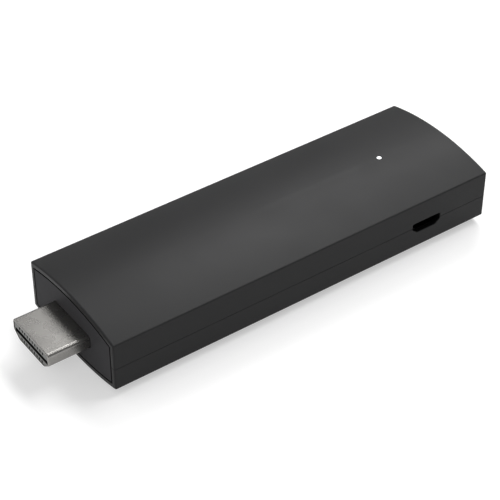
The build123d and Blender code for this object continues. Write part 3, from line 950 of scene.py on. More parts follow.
def finishes() -> dict[Slot, Finish]:
    """List the stick's finishes.

    Returns:
        The finishes, by the record's slots.
    """
    return {
        # Painted shade: the housing is black within a box round the power port's mouth, so the port looks
        # deep.
        Slot.HOUSING: ShadePaintedPlastic(
            "matte_black_housing", (0.0245, 0.0245, 0.025), 0.42, index=1.2, grain_size=0.00022,
            grain_depth=0.3, spread=0.04, edge_gloss=0.05, low=(0.03, -0.01582, 0.005),
            high=(0.045, -0.0149, 0.0095),
        ),
        # Painted shade: the end plate is black behind its front face, so the groove round it looks dark.
        Slot.END_PLATE: ShadePaintedPlastic(
            "matte_black_end_plate", (0.056, 0.055, 0.058), 0.42, index=1.07, grain_size=0.00016,
            grain_depth=0.2, spread=0.04, low=(-0.04341, -1.0, -1.0),
        ),
        Slot.PLUG_METAL: SheetMetal(
            "satin_nickel", (0.28, 0.273, 0.261), 0.27, line_size=0.0004, line_depth=0.005,
            spread=0.01, gloss=0.01,
        ),
        # Painted shade: the insulator is black behind its front face, so its slot and windows look dark.
        Slot.CARRIER_PLASTIC: ShadePaintedPlastic(
            "grey_insulator", (0.25, 0.25, 0.243), 0.5, specular=0.3, grain_size=0.0001,
            grain_depth=0.15, spread=0.03, low=(-0.05288, -1.0, -1.0),
        ),
        Slot.CONTACT_METAL: SheetMetal("gold_plate", (0.78, 0.55, 0.24), 0.22, line_depth=0.1),
        Slot.CAN_METAL: SheetMetal("tinned_sheet", (0.55, 0.55, 0.53), 0.32, line_depth=0.2),
        Slot.CIRCUIT_BOARD: SolderMask("dark_solder_mask", (0.012, 0.035, 0.022), 0.45),
        Slot.CHIP_RESIN: MouldedPlastic(
            "chip_resin", (0.02, 0.02, 0.022), 0.55, grain_size=0.0001, grain_depth=0.4
        ),
        Slot.THERMAL_PAD: MouldedPlastic(
            "thermal_pad", (0.3, 0.36, 0.42), 0.85, specular=0.3, grain_size=0.0004, grain_depth=0.5
        ),
        Slot.SPREADER_METAL: SheetMetal("bare_aluminium", (0.7, 0.7, 0.71), 0.4, line_depth=0.35),
        Slot.SCREW_STEEL: SheetMetal("zinc_plate", (0.5, 0.51, 0.52), 0.3),
        Slot.PORT_PLASTIC: MouldedPlastic("black_insulator", (0.006, 0.006, 0.006), 0.4, grain_size=0.0001),
        Slot.LIGHT_BODY: MouldedPlastic(
            "light_package", (0.8, 0.8, 0.74), 0.35, grain_size=0.0001, grain_depth=0.1
        ),
        Slot.CLEAR_PIPE: ClearPlastic("lit_clear_pipe", (0.85, 0.88, 0.9), 0.25),
        Slot.KEY_PLASTIC: MouldedPlastic("pale_key", (0.6, 0.57, 0.5), 0.45, grain_size=0.0001),
        Slot.CERAMIC: MouldedPlastic(
            "fired_ceramic", (0.36, 0.24, 0.15), 0.4, grain_size=0.00015, grain_depth=0.4, spread=0.12
        ),
    }


# Painted shade: the port's shell is near black, so the port's opening looks dark inside.
PAINTED_PORT_SHADE_SHEET = SheetMetal("painted_port_shade_sheet", (0.012, 0.012, 0.012), 0.35, line_depth=0.1)


class Workshop:
    """Dresses pieces and solids: finish, body, and the solids that a piece stands for."""

    def __init__(self) -> None:
        """Make every finish's material once."""
        effects = Effects()
        self.materials = {slot: finish.surface(effects) for slot, finish in finishes().items()}
        # The near-black sheet is painted shade for the port's shell.
        self.painted_port_shade = PAINTED_PORT_SHADE_SHEET.surface(effects)

    def fit(
        self,
        piece: Piece,
        slot: Slot,
        *nodes: str,
        body: Body = Body.STICK,
        material: bpy.types.Material | None = None,
    ) -> None:
        """Finish a new piece and let it stand for its solids.

        Args:
            piece: The modelled piece, in millimetres.
            slot: Where its finish comes from.
            nodes: The solids that it replaces.
            body: What it rides on.
            material: A finish in place of the slot's usual one.
        """
        Bench.deliver(piece)
        piece.data.materials.clear()
        piece.data.materials.append(material or self.materials[slot])
        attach(piece, body.value)
        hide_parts(*nodes)
        log.info("%s: %d faces, for %s", piece.name, len(piece.data.polygons), ", ".join(nodes))

    def dress_solids(self) -> None:
        """Give each solid that still shows its finish."""
        slots = {row["node"]: Slot(row["material_slot"]) for row in frame["record"]["subparts"]}
        for name, node in frame["nodes"].items():
            if not node.hide_render:
                for material_slot in node.material_slots:
                    material_slot.material = self.materials[slots[name]]
                log.info("%s: solid, finished as %s", name, slots[name].value)


@dataclass
class Assembly:
    """A group of the stick's pieces that is made in one go, with its sizes in millimetres."""

    stick: Stick

    def build(self, workshop: Workshop) -> None:
        """Make the pieces; each assembly does this its own way.

        Args:
            workshop: Gives the finishes.
        """
        raise NotImplementedError


@dataclass(frozen=True)
class Span:
    """A stretch along the stick, with its rise over the inner wall."""

    start: float
    length: float
    rise: float


@dataclass
class Housing(Assembly):
    """Two crowned shells with their lips, hooks, posts, bosses and ribs."""

    edge_steps: int = 5
    cross_edge_share: float = 0.95
    seam_bevel: float = 0.08
    lip_thickness: float = 0.5
    lip_height: float = 0.8
    lip_clearance: float = 0.06
    lip_root: float = 0.3
    lip_front: float = 4.0
    bands: tuple[Span, ...] = (Span(0.7, 0.3, 0.18), Span(1.85, 1.0, 1.0))
    hoops: tuple[Span, ...] = (Span(-31.0, 0.8, 1.2), Span(-9.5, 0.8, 1.2))
    hooks: tuple[float, ...] = (22.0, 46.0, 62.5)
    hook_size: tuple[float, float] = (5.0, 0.7)
    hook_root: float = 1.6
    hook_drop: float = 2.3
    hook_overlap: float = 0.1
    arm_gap: float = 0.02
    catch: tuple[float, float] = (0.35, 0.6)
    catch_lead: float = 0.3
    catch_clearance: float = 0.06
    pocket_reach: float = 0.5
    ribs: tuple[float, ...] = (14.6, 33.0, 58.0, 88.0)
    rib_thickness: float = 0.8
    rib_inset: float = 1.2
    screws: tuple[float, float] = (11.4, 70.0)
    screw_edge: float = 2.1
    boss_radius: float = 1.8
    pilot_radius: float = 0.82
    pilot_depth: float = 3.5
    post_radius: float = 1.1
    post_inset: float = 2.0
    fin_height: float = 1.0
    sleeve_radius: float = 2.14
    sleeve_height: float = 1.8
    collar_radius: float = 1.34
    pipe_hole_radius: float = 0.59
    port_clearance: float = 0.1
    port_lead: float = 0.14
    pinhole_radius: float = 0.6
    pinhole_lead: float = 0.12
    pinhole_grow: float = 1.2

    def build(self, workshop: Workshop) -> None:
        """Make both shells.

        Args:
            workshop: Gives the finishes.
        """
        halves = (
            ("top_cover", "top_shell", 1, self.furnish_top),
            ("bottom_cover", "bottom_shell", -1, self.furnish_bottom),
        )
        for name, node, side, furnish in halves:
            shell = self.half(name, side)
            furnish(shell)
            workshop.fit(shell, Slot.HOUSING, node)

    def half(self, name: str, side: int) -> Piece:
        """One hollow half of the housing, parted at the plug's middle height.

        Args:
            name: The shell's name.
            side: 1 for the upper half, -1 for the lower one.

        Returns:
            The shell with its bands and hoops.
        """
        stick = self.stick
        shell = stick.crowned_block(name, stick.rim_x, stick.end_x)
        for lengthwise, share in ((True, 1.0), (False, self.cross_edge_share)):
            Bench.round(
                shell,
                lambda edge: along(edge, 0) == lengthwise and sharp(edge),
                stick.edge_radius * share,
                self.edge_steps,
            )
        self.part_off(shell, side)
        Bench.bevel(shell, lambda edge: lies_at(edge, 2, stick.axis_z), self.seam_bevel, CHAMFER)
        cavity = stick.crowned_block("cavity", stick.rim_x - PAST, stick.end_x - stick.wall, stick.wall)
        Bench.join(shell, cavity, Joining.CUT)
        for origin, spans in ((stick.rim_x, self.bands), (stick.end_x, self.hoops)):
            for span in spans:
                ring = self.ring(origin + span.start, span.length, span.rise)
                self.part_off(ring, side)
                Bench.join(shell, ring, Joining.ADD)
        return shell

    def part_off(self, piece: Piece, side: int) -> None:
        """Cut a piece at the parting plane and keep the side that is named."""
        Bench.cut(piece, (0, 0, self.stick.axis_z), (0, 0, -side))

    def ring(self, start: float, length: float, rise: float) -> Piece:
        """A band that stands in from the wall all round.

        Args:
            start: Its lowest x.
            length: Its length along the stick.
            rise: How far it stands in.

        Returns:
            The band.
        """
        stick = self.stick
        end = start + length
        ring = stick.crowned_block("ring", start, end, stick.wall / 2)
        hole = stick.crowned_block("hole", start - PAST, end + PAST, stick.wall + rise)
        return Bench.join(ring, hole, Joining.CUT)

    def lip(self, outer: float, inner: float, low: float, high: float) -> Piece:
        """The strip along both sides and the rear that centres the shells on each other.

        Args:
            outer: Its outside, from the housing's outer face.
            inner: Its inside, from the housing's outer face.
            low: Its lowest level.
            high: Its highest level.

        Returns:
            The strip.
        """
        stick = self.stick
        front, back, side = stick.rim_x + self.lip_front, stick.end_x, stick.side_y
        strip = Bench.central("lip", (front, back - outer), side - outer, (low, high))
        inside = Bench.central("room", (front - PAST, back - inner), side - inner, (low - PAST, high + PAST))
        return Bench.join(strip, inside, Joining.CUT)

    def hook(self) -> Piece:
        """The first snap hook of the +Y side: root, spring tab and catch.

        Returns:
            The hook.
        """
        stick = self.stick
        length, thickness = self.hook_size
        depth, height = self.catch
        front = stick.rim_x + self.hooks[0] - length / 2
        back = front + length
        outer = stick.side_y - stick.wall - self.catch_clearance
        seat = outer - self.hook_overlap
        reach = stick.side_y - stick.wall / 2
        root = stick.axis_z + self.lip_height + self.lip_clearance
        foot = stick.axis_z - self.hook_drop
        top = root + self.hook_root
        hook = Bench.block("hook", (front, outer - thickness, foot), (back, outer, top))
        arm = Bench.block("arm", (front, seat, root + self.arm_gap), (back, reach, top))
        Bench.join(hook, arm, Joining.ADD)
        catch = Bench.block("catch", (front, seat, foot), (back, outer + depth, foot + height))
        Bench.bevel(
            catch,
            lambda edge: along(edge, 0) and lies_at(edge, 2, foot) and middle(edge).y > outer,
            self.catch_lead,
            CHAMFER,
        )
        Bench.join(hook, catch, Joining.ADD)
        Bench.cut(hook, (0, reach, top), (0, -thickness, reach - outer + thickness))
        return hook

    def hook_set(self, first: Piece) -> list[Piece]:
        """Copies of a piece of the first hook at all hooks, on both sides.

        Args:
            first: The piece, at the first hook of the +Y side.

        Returns:
            The piece and its copies.
        """
        row = [first]
        row += [Bench.copy(first, (place - self.hooks[0], 0, 0)) for place in self.hooks[1:]]
        rim_x = self.stick.rim_x
        return row + [Bench.turned(one, (rim_x + place, 0, 0)) for one, place in zip(row, self.hooks)]

    @staticmethod
    def add_rods(shell: Piece, x: float, y: float, rods: Iterable[tuple]) -> None:
        """Join upright rods to a shell, or cut them out of it.

        Args:
            shell: The shell that changes.
            x: The rods' place along the stick.
            y: The rods' place across it.
            rods: Each one's radius, lower end, upper end and what is done with it.
        """
        for radius, start, end, joining in rods:
            Bench.join(shell, Bench.rod("rod", (x, y, start), (x, y, end), radius), joining)

    def furnish_top(self, shell: Piece) -> None:
        """Add the top shell's groove, hooks, posts, sleeve and openings.

        Args:
            shell: The plain upper shell.
        """
        stick = self.stick
        wall, top = stick.wall, stick.height
        groove = wall - self.lip_thickness - self.lip_clearance
        root = stick.axis_z + self.lip_height + self.lip_clearance
        Bench.join(shell, self.lip(groove, wall + self.lip_root, stick.axis_z - PAST, root), Joining.CUT)
        for hook in self.hook_set(self.hook()):
            Bench.join(shell, hook, Joining.ADD, careful=True)
        low, high = in_millimetres("heat_spreader")
        inset, foot = self.post_inset, high.z - self.fin_height
        for x in (low.x + inset, high.x - inset):
            for y in (low.y + inset, high.y - inset):
                post = (self.post_radius, foot, stick.crown_z(y, wall / 2), Joining.ADD)
                self.add_rods(shell, x, y, (post,))
        sleeve_top = top - wall / 2
        rods = (
            (self.sleeve_radius, sleeve_top - self.sleeve_height, sleeve_top, Joining.ADD),
            (self.pipe_hole_radius, top - 2 * wall, top + PAST, Joining.CUT),
            (self.collar_radius, top - 4 * wall, top - wall, Joining.CUT),
        )
        self.add_rods(shell, centre_of("light_pipe")[0], 0, rods)
        Bench.join(shell, self.port_tool(), Joining.CUT)
        Bench.join(shell, self.pinhole_tool(), Joining.CUT)

    def furnish_bottom(self, shell: Piece) -> None:
        """Add the bottom shell's lip, catches, bosses, ribs and its share of the port's opening.

        Args:
            shell: The plain lower shell.
        """
        stick = self.stick
        wall, level, gap = stick.wall, stick.axis_z, self.catch_clearance
        lip = self.lip(wall - self.lip_thickness, wall, level - self.lip_root, level + self.lip_height)
        Bench.join(shell, lip, Joining.ADD)
        depth, height = self.catch
        length = self.hook_size[0] + 2 * gap
        front = stick.rim_x + self.hooks[0] - length / 2
        foot, inner = level - self.hook_drop - gap, stick.side_y - wall
        low_corner = (front, inner - self.pocket_reach, foot)
        high_corner = (front + length, inner + depth, foot + height + 2 * gap)
        for pocket in self.hook_set(Bench.block("pocket", low_corner, high_corner)):
            Bench.join(shell, pocket, Joining.CUT)
        low, high = in_millimetres("main_board")
        for place in self.ribs:
            self.add_rib(shell, stick.rim_x + place, low.z, high.y - self.rib_inset)
        y = high.y - self.screw_edge
        rods = (
            (self.boss_radius, stick.height - stick.crown_z(y, wall / 2), low.z, Joining.ADD),
            (self.pilot_radius, low.z - self.pilot_depth, low.z + PAST, Joining.CUT),
        )
        for place in self.screws:
            for side in (-y, y):
                self.add_rods(shell, stick.rim_x + place, side, rods)
        Bench.join(shell, self.port_tool(), Joining.CUT)

    def add_rib(self, shell: Piece, x: float, top: float, half: float) -> None:
        """Add one cross rib that carries the board.

        Args:
            shell: The lower shell.
            x: The rib's front.
            top: The board's underside.
            half: Half the rib's width.
        """
        back = x + self.rib_thickness
        rib = self.stick.crowned_block("rib", x, back, self.stick.wall / 2)
        room = Bench.central("room", (x - PAST, back + PAST), half, (-PAST, top))
        Bench.join(shell, Bench.join(rib, room, Joining.KEEP_COMMON), Joining.ADD)

    def port_tool(self) -> Piece:
        """What the power port's opening takes out of the shells, with a small lead-in.

        Returns:
            The cutting block.
        """
        port = PowerPort(self.stick)
        face, lead, gap = -self.stick.side_y, self.port_lead, self.port_clearance
        tool = port.block("opening", face + lead, in_millimetres("usb_shell")[1].y, gap)
        x, _, z = port.centre
        wider, higher = (1 + 2 * lead / (size + 2 * gap) for size in (port.width, port.height))
        Bench.extrude(tool, facing(0, -1, 0), (0, -lead, 0), (wider, 1, higher), (x, face, z))
        Bench.extrude(tool, facing(0, -1, 0), (0, -PAST, 0))
        return tool

    def pinhole_tool(self) -> Piece:
        """What the reset key's pinhole takes out of the side, wider at its mouth.

        Returns:
            The cutting rod.
        """
        x, _, z = centre_of("reset_plunger")
        face, lead, grow = self.stick.side_y, self.pinhole_lead, self.pinhole_grow
        start, end = (x, face - 2 * self.stick.wall, z), (x, face - lead, z)
        tool = Bench.rod("pinhole", start, end, self.pinhole_radius)
        Bench.extrude(tool, facing(0, 1, 0), (0, lead + NEAR, 0), (grow, 1, grow), (x, face, z))
        Bench.extrude(tool, facing(0, 1, 0), (0, PAST, 0))
        return tool


@dataclass
class EndPlate(Assembly):
    """The visible plate round the plug, with the wider flange that holds it."""

    plate: float = 1.0
    flange: float = 0.8
    groove: float = 0.4
    clearance: float = 0.05
    plug_gap: float = 0.1
    edge: float = 0.06
    edge_steps: int = 3

    def build(self, workshop: Workshop) -> None:
        """Make the plate.

        Args:
            workshop: Gives the finishes.
        """
        stick = self.stick
        front, back = stick.rim_x, stick.rim_x + self.plate + self.flange
        plate = stick.crowned_block("end_plate", front, back, stick.wall + self.groove)
        Bench.bevel(plate, rim(0, front), self.edge, self.edge_steps)
        flange = stick.crowned_block("flange", front + self.plate, back, stick.wall + self.clearance)
        Bench.join(plate, flange, Joining.ADD)
        opening = VideoPlug(stick).block("opening", front - PAST, back + PAST, self.plug_gap)
        Bench.join(plate, opening, Joining.CUT)
        workshop.fit(plate, Slot.END_PLATE, "front_cap")


@dataclass(frozen=True)
class ContactRow:
    """One row of the plug's contacts."""

    side: int
    count: int
    window: float
    name: str
    node: str


@dataclass
class VideoPlug(Assembly):
    """Folded metal shell, insulating carrier and two rows of spring contacts."""

    width: float = 13.9
    height: float = 4.45
    side: float = 2.8
    base: float = 9.7
    corner: float = 0.75
    least_corner: float = 0.1
    corner_steps: int = 6
    sheet: float = 0.3
    tip_round: float = 0.22
    tip_steps: int = 3
    recess: float = 0.15
    clearance: float = 0.02
    slot: tuple[float, float, float] = (7.0, 12.6, 1.0)
    slot_drop: float = 0.25
    slot_corner: float = 0.12
    face_wall: float = 0.5
    window: tuple[float, float] = (0.5, 0.74)
    window_reach: float = 0.1
    pitch: float = 1.0
    rows: tuple[ContactRow, ...] = (
        ContactRow(1, 10, 1.0, "plug_springs_upper", "plug_contacts_upper"),
        ContactRow(-1, 9, -1.45, "plug_springs_lower", "plug_contacts_lower"),
    )
    channel_width: float = 0.46
    channel_reach: float = 0.02
    contact: tuple[float, float] = (0.34, 0.2)
    contact_lead: float = 0.35
    contact_edge: float = 0.03
    seam_width: float = 0.12

    @property
    def tip(self) -> float:
        """The plug's foremost x."""
        return in_millimetres("plug_shell")[0].x

    @property
    def root(self) -> float:
        """The plug's rearmost x, inside the housing."""
        return in_millimetres("plug_shell")[1].x

    def block(self, name: str, front: float, back: float, grow: float = 0.0) -> Piece:
        """A closed block with the plug's cross-section.

        Args:
            name: The new object's name.
            front: Its lowest x.
            back: Its highest x.
            grow: How far it stands outside the plug's outer surface.

        Returns:
            The block, with rounded long edges.
        """
        middle_z = self.stick.axis_z
        low, high = middle_z - self.height / 2 - grow, middle_z + self.height / 2 + grow
        half, base = self.width / 2 + grow, self.base / 2
        drop = self.height - self.side
        slope = Vector((drop, half - grow - base)).normalized()
        shoulder = middle_z + self.height / 2 - self.side - grow * (1 - slope.x) / slope.y
        run = (half - grow - base) / drop
        foot = half - run * (shoulder - low)
        block = Bench.central(name, (front, back), half, (low, high))
        Bench.select(block, Part.FACES, everything)
        bpy.ops.mesh.bisect(plane_co=(0, 0, shoulder), plane_no=(0, 0, 1))
        Bench.done()
        Bench.select(block, Part.VERTICES, lambda vertex: vertex.co.z < low + NEAR)
        bpy.ops.transform.resize(value=(1, foot / half, 1), center_override=(0, 0, low))
        Bench.done()
        radius = max(self.corner + grow, self.least_corner)
        for level in (high, shoulder, low):
            Bench.round(
                block, lambda edge: along(edge, 0) and lies_at(edge, 2, level), radius, self.corner_steps
            )
        for way in (-1, 1):
            Bench.select(block, Part.FACES, facing(way, 0, 0))
            bpy.ops.mesh.dissolve_faces()
            Bench.done()
        return block

    def build(self, workshop: Workshop) -> None:
        """Make the plug's pieces.

        Args:
            workshop: Gives the finishes.
        """
        workshop.fit(self.metal_shell(), Slot.PLUG_METAL, "plug_shell")
        workshop.fit(self.carrier(), Slot.CARRIER_PLASTIC, "plug_contact_carrier")
        for row in self.rows:
            workshop.fit(self.springs(row), Slot.CONTACT_METAL, row.node)

    def metal_shell(self) -> Piece:
        """The plug's folded sheet, rounded at the tip, with its seam along the underside.

        Returns:
            The shell.
        """
        shell = self.block("plug_sheath", self.tip + self.tip_round, self.root)
        Bench.round_end(shell, facing(-1, 0, 0), self.tip_round, self.tip_steps)
        front, back = self.tip - PAST, self.root + PAST
        Bench.join(shell, self.block("inside", front, back, -self.sheet), Joining.CUT)
        low = self.stick.axis_z - self.height / 2
        seam = Bench.central("seam", (front, back), self.seam_width / 2, (low - PAST, low + self.sheet / 3))
        return Bench.join(shell, seam, Joining.CUT)

    def in_row(self, tool: Piece, row: ContactRow) -> Piece:
        """Repeat a piece that is placed on the plug's middle at every contact of a row.

        Args:
            tool: The piece, used up.
            row: Which row.

        Returns:
            All of its copies as one object.
        """
        first = (1 - row.count) / 2 * self.pitch
        pieces = [Bench.copy(tool, (0, first + k * self.pitch, 0)) for k in range(row.count)]
        bpy.data.objects.remove(tool)
        return Bench.gather(pieces, row.name)

    def carrier(self) -> Piece:
        """The insulating block: the tongue's slot, a channel for each contact and its window in front.

        Returns:
            The block.
        """
        front = self.tip + self.recess
        slot_z = self.stick.axis_z - self.slot_drop
        block = self.block("plug_insulator", front, self.root, -self.sheet - self.clearance)
        depth, width, height = self.slot
        levels = (slot_z - height / 2, slot_z + height / 2)
        slot = Bench.central("slot", (front - PAST, front + depth), width / 2, levels)
        Bench.bevel(slot, lambda edge: along(edge, 0), self.slot_corner, SOFTENED)
        Bench.join(block, slot, Joining.CUT)
        wall_back = front + self.face_wall
        half, rise = (size / 2 for size in self.window)
        for row in self.rows:
            z = self.stick.axis_z + row.window
            levels = sorted((slot_z, z + row.side * (rise + self.channel_reach)))
            channel = Bench.central("channel", (wall_back, front + depth), self.channel_width / 2, levels)
            Bench.join(block, self.in_row(channel, row), Joining.CUT)
            ends = (front - PAST, wall_back + self.window_reach)
            window = Bench.central("window", ends, half, (z - rise, z + rise))
            Bench.join(block, self.in_row(window, row), Joining.CUT)
        return block

    def springs(self, row: ContactRow) -> Piece:
        """One row of contacts, each a strip that leans into the slot and turns up at its tip.

        Args:
            row: Which row.

        Returns:
            The row as one piece.
        """
        low, high = in_millimetres(row.node)
        width, thickness = self.contact
        lead, turn_up = self.contact_lead, self.contact_lead / 3
        tip, root = (low.z, high.z) if row.side > 0 else (high.z, low.z)
        start = tip + row.side * turn_up
        levels = sorted((start, start + row.side * thickness))
        strip = Bench.central("strip", (low.x, low.x + turn_up), width / 2, levels)
        bend = self.tip + self.recess + self.slot[0]
        moves = (
            (lead, -row.side * turn_up),
            (bend - low.x - lead - turn_up, root - row.side * thickness - tip),
            (high.x - bend, 0.0),
        )
        for step, rise in moves:
            Bench.extrude(strip, facing(1, 0, 0), (step, 0, rise))
        Bench.bevel(strip, lambda edge: along(edge, 0), self.contact_edge, CHAMFER)
        return self.in_row(strip, row)


@dataclass
class PowerPort(Assembly):
    """Micro-B receptacle: folded shell, and the insulator with its tongue."""

    width: float = 7.4
    height: float = 2.3
    bevel_across: float = 1.25
    bevel_up: float = 0.95
    sheet: float = 0.25
    corner: float = 0.3
    corner_steps: int = 4
    depth: float = 5.1
    wing: tuple[float, float] = (1.1, 2.0)
    wing_offset: float = 1.7
    tongue: tuple[float, float] = (3.6, 0.55)
    tongue_recess: float = 0.5
    tongue_rise: float = 0.1
    tongue_edge: float = 0.1
    block_depth: float = 1.4

    @property
    def centre(self) -> tuple[float, ...]:
        """The middle of the port's box."""
        return centre_of("usb_shell")

    @property
    def mouth(self) -> float:
        """The mouth's y."""
        return in_millimetres("usb_shell")[0].y

    def block(self, name: str, front: float, back: float, grow: float = 0.0) -> Piece:
        """A closed block with the port's outline.

        Args:
            name: The new object's name.
            front: Its lowest y.
            back: Its highest y.
            grow: How far it stands outside the port's outer surface.

        Returns:
            The block, with rounded corners.
        """
        half, rise = self.width / 2, self.height / 2
        x, _, z = self.centre
        low_corner = (x - half - grow, front, z - rise - grow)
        block = Bench.block(name, low_corner, (x + half + grow, back, z + rise + grow))
        slope = Vector((self.bevel_up, 0, self.bevel_across)).normalized()
        for side in (-1, 1):
            normal = Vector((side * slope.x, 0, -slope.z))
            point = Vector((x + side * half, 0, z - rise + self.bevel_up)) + normal * grow
            Bench.cut(block, point, normal)
        for test in (lambda edge: middle(edge).z > z + rise / 2, sharp):
            Bench.round(
                block, lambda edge: along(edge, 1) and test(edge), self.corner + grow, self.corner_steps
            )
        return block

    def build(self, workshop: Workshop) -> None:
        """Make the port's pieces.

        Args:
            workshop: Gives the finishes.
        """
        # The port's shell takes the near-black sheet, a painted shade inside the port.
        workshop.fit(self.shell(), Slot.CAN_METAL, "usb_shell", material=workshop.painted_port_shade)
        workshop.fit(self.insulator(), Slot.PORT_PLASTIC, "usb_tongue")

    def shell(self) -> Piece:
        """The folded shell with a wing on each side.

        Returns:
            The shell.
        """
        back = self.mouth + self.depth
        shell = self.block("port_sheath", self.mouth, back)
        board_top = in_millimetres("main_board")[1].z
        wing, length = self.wing
        start = self.mouth + self.wing_offset
        for side in (-1, 1):
            root = self.centre[0] + side * (self.width / 2 - self.sheet)
            low_x, high_x = sorted((root, root + side * (wing + self.sheet)))
            high_corner = (high_x, start + length, board_top + self.sheet)
            Bench.join(shell, Bench.block("wing", (low_x, start, board_top), high_corner), Joining.ADD)
        inside = self.block("inside", self.mouth - PAST, back + PAST, -self.sheet)
        return Bench.join(shell, inside, Joining.CUT)

    def insulator(self) -> Piece:
        """The insulating block at the rear with the tongue in front of it.

        Returns:
            The block with its tongue.
        """
        back = self.mouth + self.depth
        block = self.block("port_tongue", back - self.block_depth, back, -self.sheet)
        width, thickness = self.tongue
        x, _, z = self.centre
        front, bottom = self.mouth + self.tongue_recess, z + self.tongue_rise
        high_corner = (x + width / 2, back - self.block_depth / 2, bottom + thickness)
        tongue = Bench.block("tongue", (x - width / 2, front, bottom), high_corner)
        Bench.bevel(tongue, lambda edge: lies_at(edge, 1, front), self.tongue_edge, SOFTENED)
        return Bench.join(block, tongue, Joining.ADD)


@dataclass
class StatusLight(Assembly):
    """The clear pipe that carries the light to the top."""

    radius: float = 0.55
    collar: tuple[float, float] = (1.3, 0.6)
    collar_drop: float = 1.14
    collar_edge: float = 0.05
    lens_round: float = 0.18
    lens_steps: int = 4

    def build(self, workshop: Workshop) -> None:
        """Make the pipe.

        Args:
            workshop: Gives the finishes.
        """
        low, high = in_millimetres("light_pipe")
        x = centre_of("light_pipe")[0]
        pipe = Bench.rod("lens_pipe", (x, 0, low.z), (x, 0, high.z), self.radius)
        Bench.bevel(pipe, rim(2, high.z), self.lens_round, self.lens_steps)
        radius, height = self.collar
        top = high.z - self.collar_drop
        collar = Bench.rod("collar", (x, 0, top - height), (x, 0, top), radius)
        Bench.bevel(collar, sharp, self.collar_edge, SOFTENED)
        Bench.join(pipe, collar, Joining.ADD)
        workshop.fit(pipe, Slot.CLEAR_PIPE, "light_pipe")


@dataclass
class ResetKey(Assembly):
    """The recessed reset plunger, the one piece that moves."""

    flange: float = 0.5
    flange_edge: float = 0.06
    flange_depth: float = 1.05
    overlap: float = 0.1
    stem_radius: float = 0.65
    stem_round: float = 0.18
    stem_steps: int = 3
    nub_radius: float = 0.5

    def build(self, workshop: Workshop) -> None:
        """Make the plunger.

        Args:
            workshop: Gives the finishes.
        """
        low, high = in_millimetres("reset_plunger")
        x, _, z = centre_of("reset_plunger")
        back = high.y - self.flange_depth - self.flange
        seat = back + self.overlap
        plunger = Bench.block("reset_button", (low.x, back, low.z), (high.x, back + self.flange, high.z))
        Bench.bevel(plunger, sharp, self.flange_edge, SOFTENED)
        stem = Bench.rod("stem", (x, seat, z), (x, high.y, z), self.stem_radius)
        Bench.bevel(stem, rim(1, high.y), self.stem_round, self.stem_steps)
        Bench.join(plunger, stem, Joining.ADD)
        nub = Bench.rod("nub", (x, low.y, z), (x, seat, z), self.nub_radius)
        Bench.join(plunger, nub, Joining.ADD)
        workshop.fit(plunger, Slot.KEY_PLASTIC, "reset_plunger", body=Body.RESET_KEY)


@dataclass
class SpringDome(Assembly):
    """The sprung dome behind the reset plunger; the real one flattens as the plunger comes in, this one
    keeps its rest shape.
    """

    sheet: float = 0.08
    segments: int = 32
    pressed: float = 0.4

    def build(self, workshop: Workshop) -> None:
        """Make the dome.

        Args:
            workshop: Gives the finishes.
        """
        low, high = in_millimetres("reset_dome")
        x, _, z = centre_of("reset_dome")
        rise, half = high.y - low.y, (high.x - low.x) / 2
        radius = (rise**2 + half**2) / (2 * rise)
        centre, foot = (x, high.y - radius, z), (x, low.y, z)
        dome = self.ball("reset_spring", centre, radius)
        Bench.join(dome, self.ball("hollow", centre, radius - self.sheet), Joining.CUT)
        Bench.cut(dome, foot, (0, -1, 0))
        workshop.fit(dome, Slot.CAN_METAL, "reset_dome")
        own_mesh(dome)

    def ball(self, name: str, centre: Point, radius: float) -> Piece:
        """Add a ball, with its poles along the plunger's way.

        Args:
            name: The new object's name.
            centre: Its middle.
            radius: Its radius.

        Returns:
            The ball.
        """
        bpy.ops.object.select_all(action="DESELECT")
        bpy.ops.mesh.primitive_uv_sphere_add(
            segments=self.segments,
            ring_count=self.segments,
            radius=radius,
            location=centre,
            rotation=(math.pi / 2, 0, 0),
        )
        return Bench.name_new(name)


@dataclass(frozen=True)
class PhotoCamera:
    """The camera that took the photograph."""

    eye: Point = (-0.16299, -0.22706, 0.23754)
    azimuth: float = -35.778
    elevation: float = 39.574
    roll: float = 0.16
    focal_pixels: float = 1700.05
    image_pixels: float = 500.0
    sensor: float = 36.0
    clip: tuple[float, float] = (0.01, 20.0)

    def place(self) -> None:
        """Put the camera into the scene and make it the active one."""
        azimuth, elevation, roll = (math.radians(a) for a in (self.azimuth, self.elevation, self.roll))
        level = Vector((math.cos(azimuth), math.sin(azimuth), 0.0))
        away = Vector((math.sin(azimuth), -math.cos(azimuth), 0.0))
        back = math.cos(elevation) * away + Vector((0.0, 0.0, math.sin(elevation)))
        right = math.cos(roll) * level + math.sin(roll) * back.cross(level)
        data = bpy.data.cameras.new("photo_camera")
        data.sensor_width = self.sensor
        data.lens = self.focal_pixels / self.image_pixels * self.sensor
        data.clip_start, data.clip_end = self.clip
        camera = bpy.data.objects.new("photo_camera", data)
        bpy.context.scene.collection.objects.link(camera)
        turn = Matrix((right, back.cross(right), back)).transposed().to_4x4()
        camera.matrix_world = Matrix.Translation(self.eye) @ turn
        bpy.context.scene.camera = camera


@dataclass(frozen=True)
class Softbox:
    """A rectangular lamp that points at the stick."""

    name: str
    place: Point
    size: tuple[float, float]
    power: float
    aim: Point = (0.0, 0.0, 0.01)

    def hang(self) -> None:
        """Put the lamp into the scene."""
        data = bpy.data.lights.new(self.name, "AREA")
        data.shape = "RECTANGLE"
        data.size, data.size_y = self.size
        data.energy = self.power
        lamp = bpy.data.objects.new(self.name, data)
        bpy.context.scene.collection.objects.link(lamp)
        lamp.location = self.place
        lamp.rotation_euler = (Vector(self.aim) - Vector(self.place)).to_track_quat("-Z", "Y").to_euler()


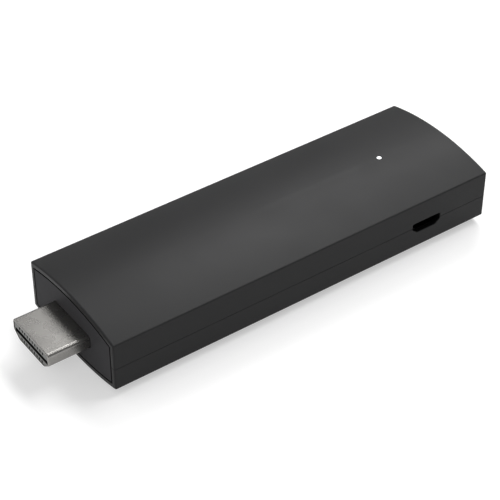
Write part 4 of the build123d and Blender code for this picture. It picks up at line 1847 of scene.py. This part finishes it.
@dataclass(frozen=True)
class Studio:
    """Pale floor, soft lamps and an even surround."""

    floor_size: float = 6.0
    floor_seen: float = 0.65
    floor_glow: float = 0.42
    floor_bounce: float = 0.5
    surround: float = 0.34
    softboxes: tuple[Softbox, ...] = (
        Softbox("overhead_softbox", (0.34, -0.04, 0.62), (0.4, 0.2), 2.2),
        Softbox("rear_softbox", (0.35, 0.34, 0.55), (0.3, 0.3), 2.45),
        Softbox("side_softbox", (-0.4, 0.45, 0.45), (0.8, 0.8), 0.85),
        Softbox("front_softbox", (-0.5, -0.45, 0.55), (0.5, 0.5), 1.45),
    )

    def build(self) -> None:
        """Make the floor, the lamps and the surround, and set how colours are shown."""
        self._floor()
        for softbox in self.softboxes:
            softbox.hang()
        self._surround()
        bpy.context.scene.view_settings.view_transform = "Standard"

    def _floor(self) -> None:
        """A floor that is white to the camera and in reflections, and greyer where it bounces light.

        A part of that white doesn't depend on the lamps, which keeps the stick's shadow pale.
        """
        bpy.ops.object.select_all(action="DESELECT")
        bpy.ops.mesh.primitive_plane_add(size=self.floor_size)
        floor = Bench.name_new("floor")
        material = bpy.data.materials.new("pale_floor")
        material.use_nodes = True
        graph = Graph(material.node_tree)
        path = graph.add("ShaderNodeLightPath").outputs
        seen = graph.math("MAXIMUM", path["Is Camera Ray"], path["Is Glossy Ray"])
        seen = graph.math("MAXIMUM", seen, path["Is Transmission Ray"])
        shades = [(level, level, level, 1.0) for level in (self.floor_bounce, self.floor_seen)]
        matt = graph.add("ShaderNodeBsdfDiffuse", {"Color": graph.blend(seen, *shades)}).outputs[0]
        strength = graph.math("MULTIPLY", seen, self.floor_glow)
        glow = graph.add("ShaderNodeEmission", {"Strength": strength}).outputs[0]
        both = graph.add("ShaderNodeAddShader", {0: matt, 1: glow}).outputs[0]
        graph.add("ShaderNodeOutputMaterial", {"Surface": both})
        floor.data.materials.append(material)

    def _surround(self) -> None:
        """An even pale surround."""
        world = bpy.data.worlds.new("surround")
        world.use_nodes = True
        graph = Graph(world.node_tree)
        light = graph.add("ShaderNodeBackground", {"Color": WHITE, "Strength": self.surround})
        graph.add("ShaderNodeOutputWorld", {"Surface": light.outputs["Background"]})
        bpy.context.scene.world = world


def main() -> None:
    """Build the stick's pieces in order, then the studio around them."""
    logging.basicConfig(level=logging.INFO, format="%(name)s: %(message)s")
    workshop = Workshop()
    stick = Stick.measure()
    for assembly in (Housing, EndPlate, VideoPlug, PowerPort, StatusLight, ResetKey, SpringDome):
        assembly(stick).build(workshop)
    workshop.dress_solids()
    Studio().build()
    PhotoCamera().place()


if __name__ == "__main__":
    main()
